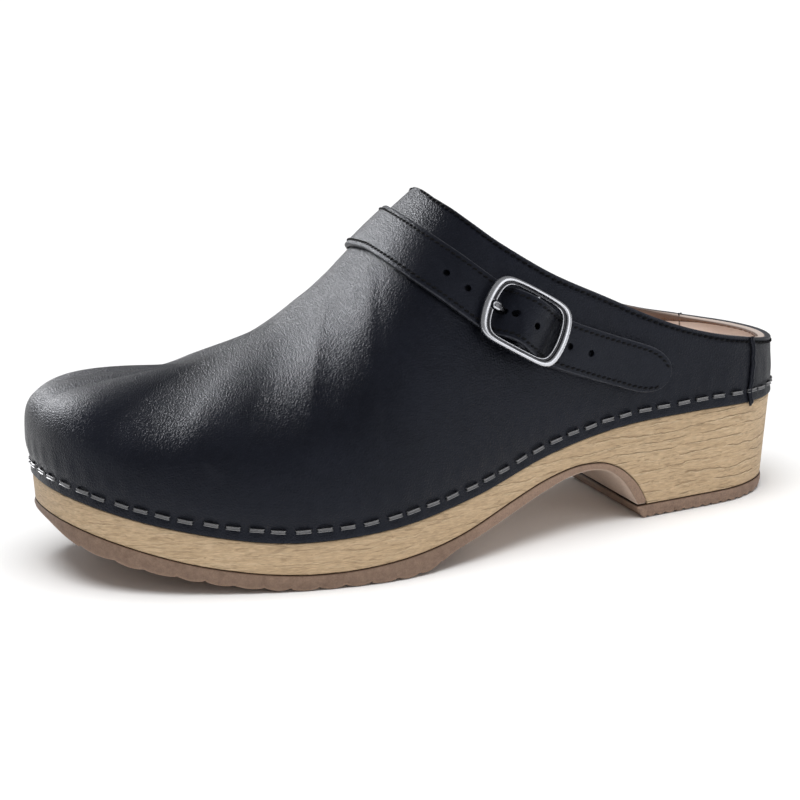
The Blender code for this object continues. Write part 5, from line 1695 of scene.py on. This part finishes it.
def make_prong(axes):
    """Prong hooked round the bar, with a rounded, grooved tip in the notch."""
    ring = 1.6
    turns = np.radians(np.linspace(500, 225, 22))
    hook = [(ring * math.cos(a), ring * math.sin(a)) for a in turns]
    knots = np.array([hook[-1], (-2.6, -1.55), (-4.0, -2.0), (-6.0, -2.3), (-7.4, -2.1),
                      (-8.4, -1.5), (-9.4, -0.7), (-10.6, -0.1), (-12.2, 0.25), (-14.5, 0.35)])
    shank = resample(knots, np.linspace(0, lengths_along(knots)[-1], 46))
    for _ in range(3):
        shank[1:-1] = (shank[:-2] + 2 * shank[1:-1] + shank[2:]) / 4
    route = np.vstack([hook[:-1], shank])
    tangent = unit(np.gradient(route, axis=0))
    left = lengths_along(route)[-1] - lengths_along(route)
    outline = [(-1.0, -0.1), (-1.0, 0.55), (-0.86, 0.95), (-0.58, 1.0), (-0.42, 0.3),
               (0.42, 0.3), (0.58, 1.0), (0.86, 0.95), (1.0, 0.55), (1.0, -0.1),
               (0.85, -0.8), (0.4, -1.0), (-0.4, -1.0), (-0.85, -0.8)]
    vertices, recess_shade = [], []
    for (a, b), (ta, tb), far in zip(route, tangent, left):
        taper = math.sqrt(max(1 - (1 - min(far / 1.1, 1.0)) ** 2, 0.02))
        wide = 0.82 + 0.52 * np.clip((-a - 10.4) / 1.6, 0, 1)
        floor = np.clip((far - 0.45) / 0.35, 0, 1)
        for v, d in outline:
            groove = 0.3 == d
            d = 1.0 - (1.0 - d) * floor if groove else d
            normal = np.array([tb, -ta])
            s, h = np.array([a, b]) + normal * (0.5 * d * (0.55 + 0.45 * taper))
            vertices.append(axes.point(s, wide * v * taper, BAR_HEIGHT + h))
            # Painted shade in the groove, and over the part of the prong that lies under the
            # strap.
            recess_shade.append(0.85 * floor if groove else 0.92 * (a > -11.4))
    obj = build("buckle_prong_shown", np.array(vertices),
                capped_tube(len(route), len(outline)), MATS["silver"], body="prong",
                replaces=("buckle_prong",), slot="satin_silver", sharp=50)
    tag(obj.data, "recess_shade", recess_shade)


# ---- stage ----------------------------------------------------------------------------
CAMERA_AZIMUTH = math.radians(-20.29)
CAMERA_ELEVATION = math.radians(14.05)
CAMERA_ROLL = math.radians(-2.5)
CAMERA_DISTANCE = 0.8
CAMERA_TARGET = (-0.1087, 0.0, 0.04575)
CAMERA_LENS = 104.15
FLOOR_HALF = 12.0
FLOOR_DROP = 0.0002
SKY_STRENGTH = 0.27
SUN_POWER = 3.05
SUN_SPREAD = math.radians(48)
SUN_DIRECTION = (0.08, 0.20, -1.0)


def aim(light, direction):
    light.rotation_euler = Vector(direction).to_track_quat("-Z", "Y").to_euler()


def area_light(name, place, target, size, power):
    data = bpy.data.lights.new(name, "AREA")
    data.shape = "RECTANGLE"
    data.size, data.size_y = size
    data.energy = power
    light = link_object(name, data)
    light.location = place
    aim(light, Vector(target) - Vector(place))
    return light


def make_floor():
    n = Nodes("studio_floor")
    n.set(Base_Color=n.ramp(n.noise(3.0, 2.0), (0.3, 0.86), (0.7, 0.88)), Roughness=0.9,
          Specular_IOR_Level=0.1)
    mesh = bpy.data.meshes.new("studio_floor")
    far = FLOOR_HALF
    mesh.from_pydata([(-far, -far, 0), (far, -far, 0), (far, far, 0), (-far, far, 0)], [],
                     [(0, 1, 2, 3)])
    mesh.materials.append(n.mat)
    floor = link_object("studio_floor", mesh)
    floor.location.z = -FLOOR_DROP


def make_lights():
    """White surroundings, a wide soft sun, a light for the sheen and one for the metal."""
    world = bpy.data.worlds.new("studio")
    bpy.context.scene.world = world
    world.use_nodes = True
    background = world.node_tree.nodes["Background"]
    background.inputs["Color"].default_value = (1.0, 1.0, 1.0, 1.0)
    background.inputs["Strength"].default_value = SKY_STRENGTH
    data = bpy.data.lights.new("sky", "SUN")
    data.energy = SUN_POWER
    data.angle = SUN_SPREAD
    sky = link_object("sky", data)
    aim(sky, SUN_DIRECTION)
    sky.visible_glossy = False
    gloss = area_light("gloss", (-0.62, 0.88, 0.60), (-0.18, 0.0, 0.06), (0.8, 0.5), 19.0)
    gloss.visible_diffuse = False
    area_light("card", (0.45, -1.0, 0.36), (-0.10, 0.0, 0.06), (0.8, 0.6), 2.2)


def make_camera():
    azimuth, elevation, roll = CAMERA_AZIMUTH, CAMERA_ELEVATION, CAMERA_ROLL
    back = Vector((math.sin(azimuth) * math.cos(elevation),
                   -math.cos(azimuth) * math.cos(elevation), math.sin(elevation)))
    right = Vector((math.cos(azimuth), math.sin(azimuth), 0.0))
    up = back.cross(right)
    turned_right = right * math.cos(roll) + up * math.sin(roll)
    turned_up = up * math.cos(roll) - right * math.sin(roll)
    data = bpy.data.cameras.new("camera")
    data.sensor_width = 36.0
    data.lens = CAMERA_LENS
    camera = link_object("camera", data)
    place = Matrix.Translation(Vector(CAMERA_TARGET) + back * CAMERA_DISTANCE)
    turn = Matrix((turned_right, turned_up, back)).transposed().to_4x4()
    camera.matrix_world = place @ turn
    bpy.context.scene.camera = camera
    bpy.context.scene.view_settings.view_transform = "Standard"
    bpy.context.scene.view_settings.look = "None"


# ---- assembly -------------------------------------------------------------------------
vamp_face = Face(VAMP_U)
heel_face = Face(HEEL_U)
make_leather(vamp_face, "vamp_leather", "vamp", "leather", "topline_stitches")
make_leather(heel_face, "heel_leather", "heel_quarter", "quarter", "heel_stitches")
make_lining(vamp_face, "vamp_lining_shown", "vamp_lining")
make_lining(heel_face, "heel_lining_shown", "heel_lining")
make_facing(vamp_face, heel_face)
make_seam_cords(vamp_face, heel_face)
make_wood()
make_outsole()
make_lift()
make_sock()
make_staples()
strap_surface = StrapSurface()
buckle_axes = BuckleAxes(strap_surface)
make_strap(strap_surface, buckle_axes)
make_anchor(strap_surface, buckle_axes)
make_buckle(buckle_axes)
for node_name, material_name in (("toe_puff", "board"), ("heel_counter", "board"),
                                 ("footbed_foam", "foam")):
    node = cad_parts[node_name]
    node.data.materials.clear()
    node.data.materials.append(MATS[material_name])
make_floor()
make_lights()
make_camera()
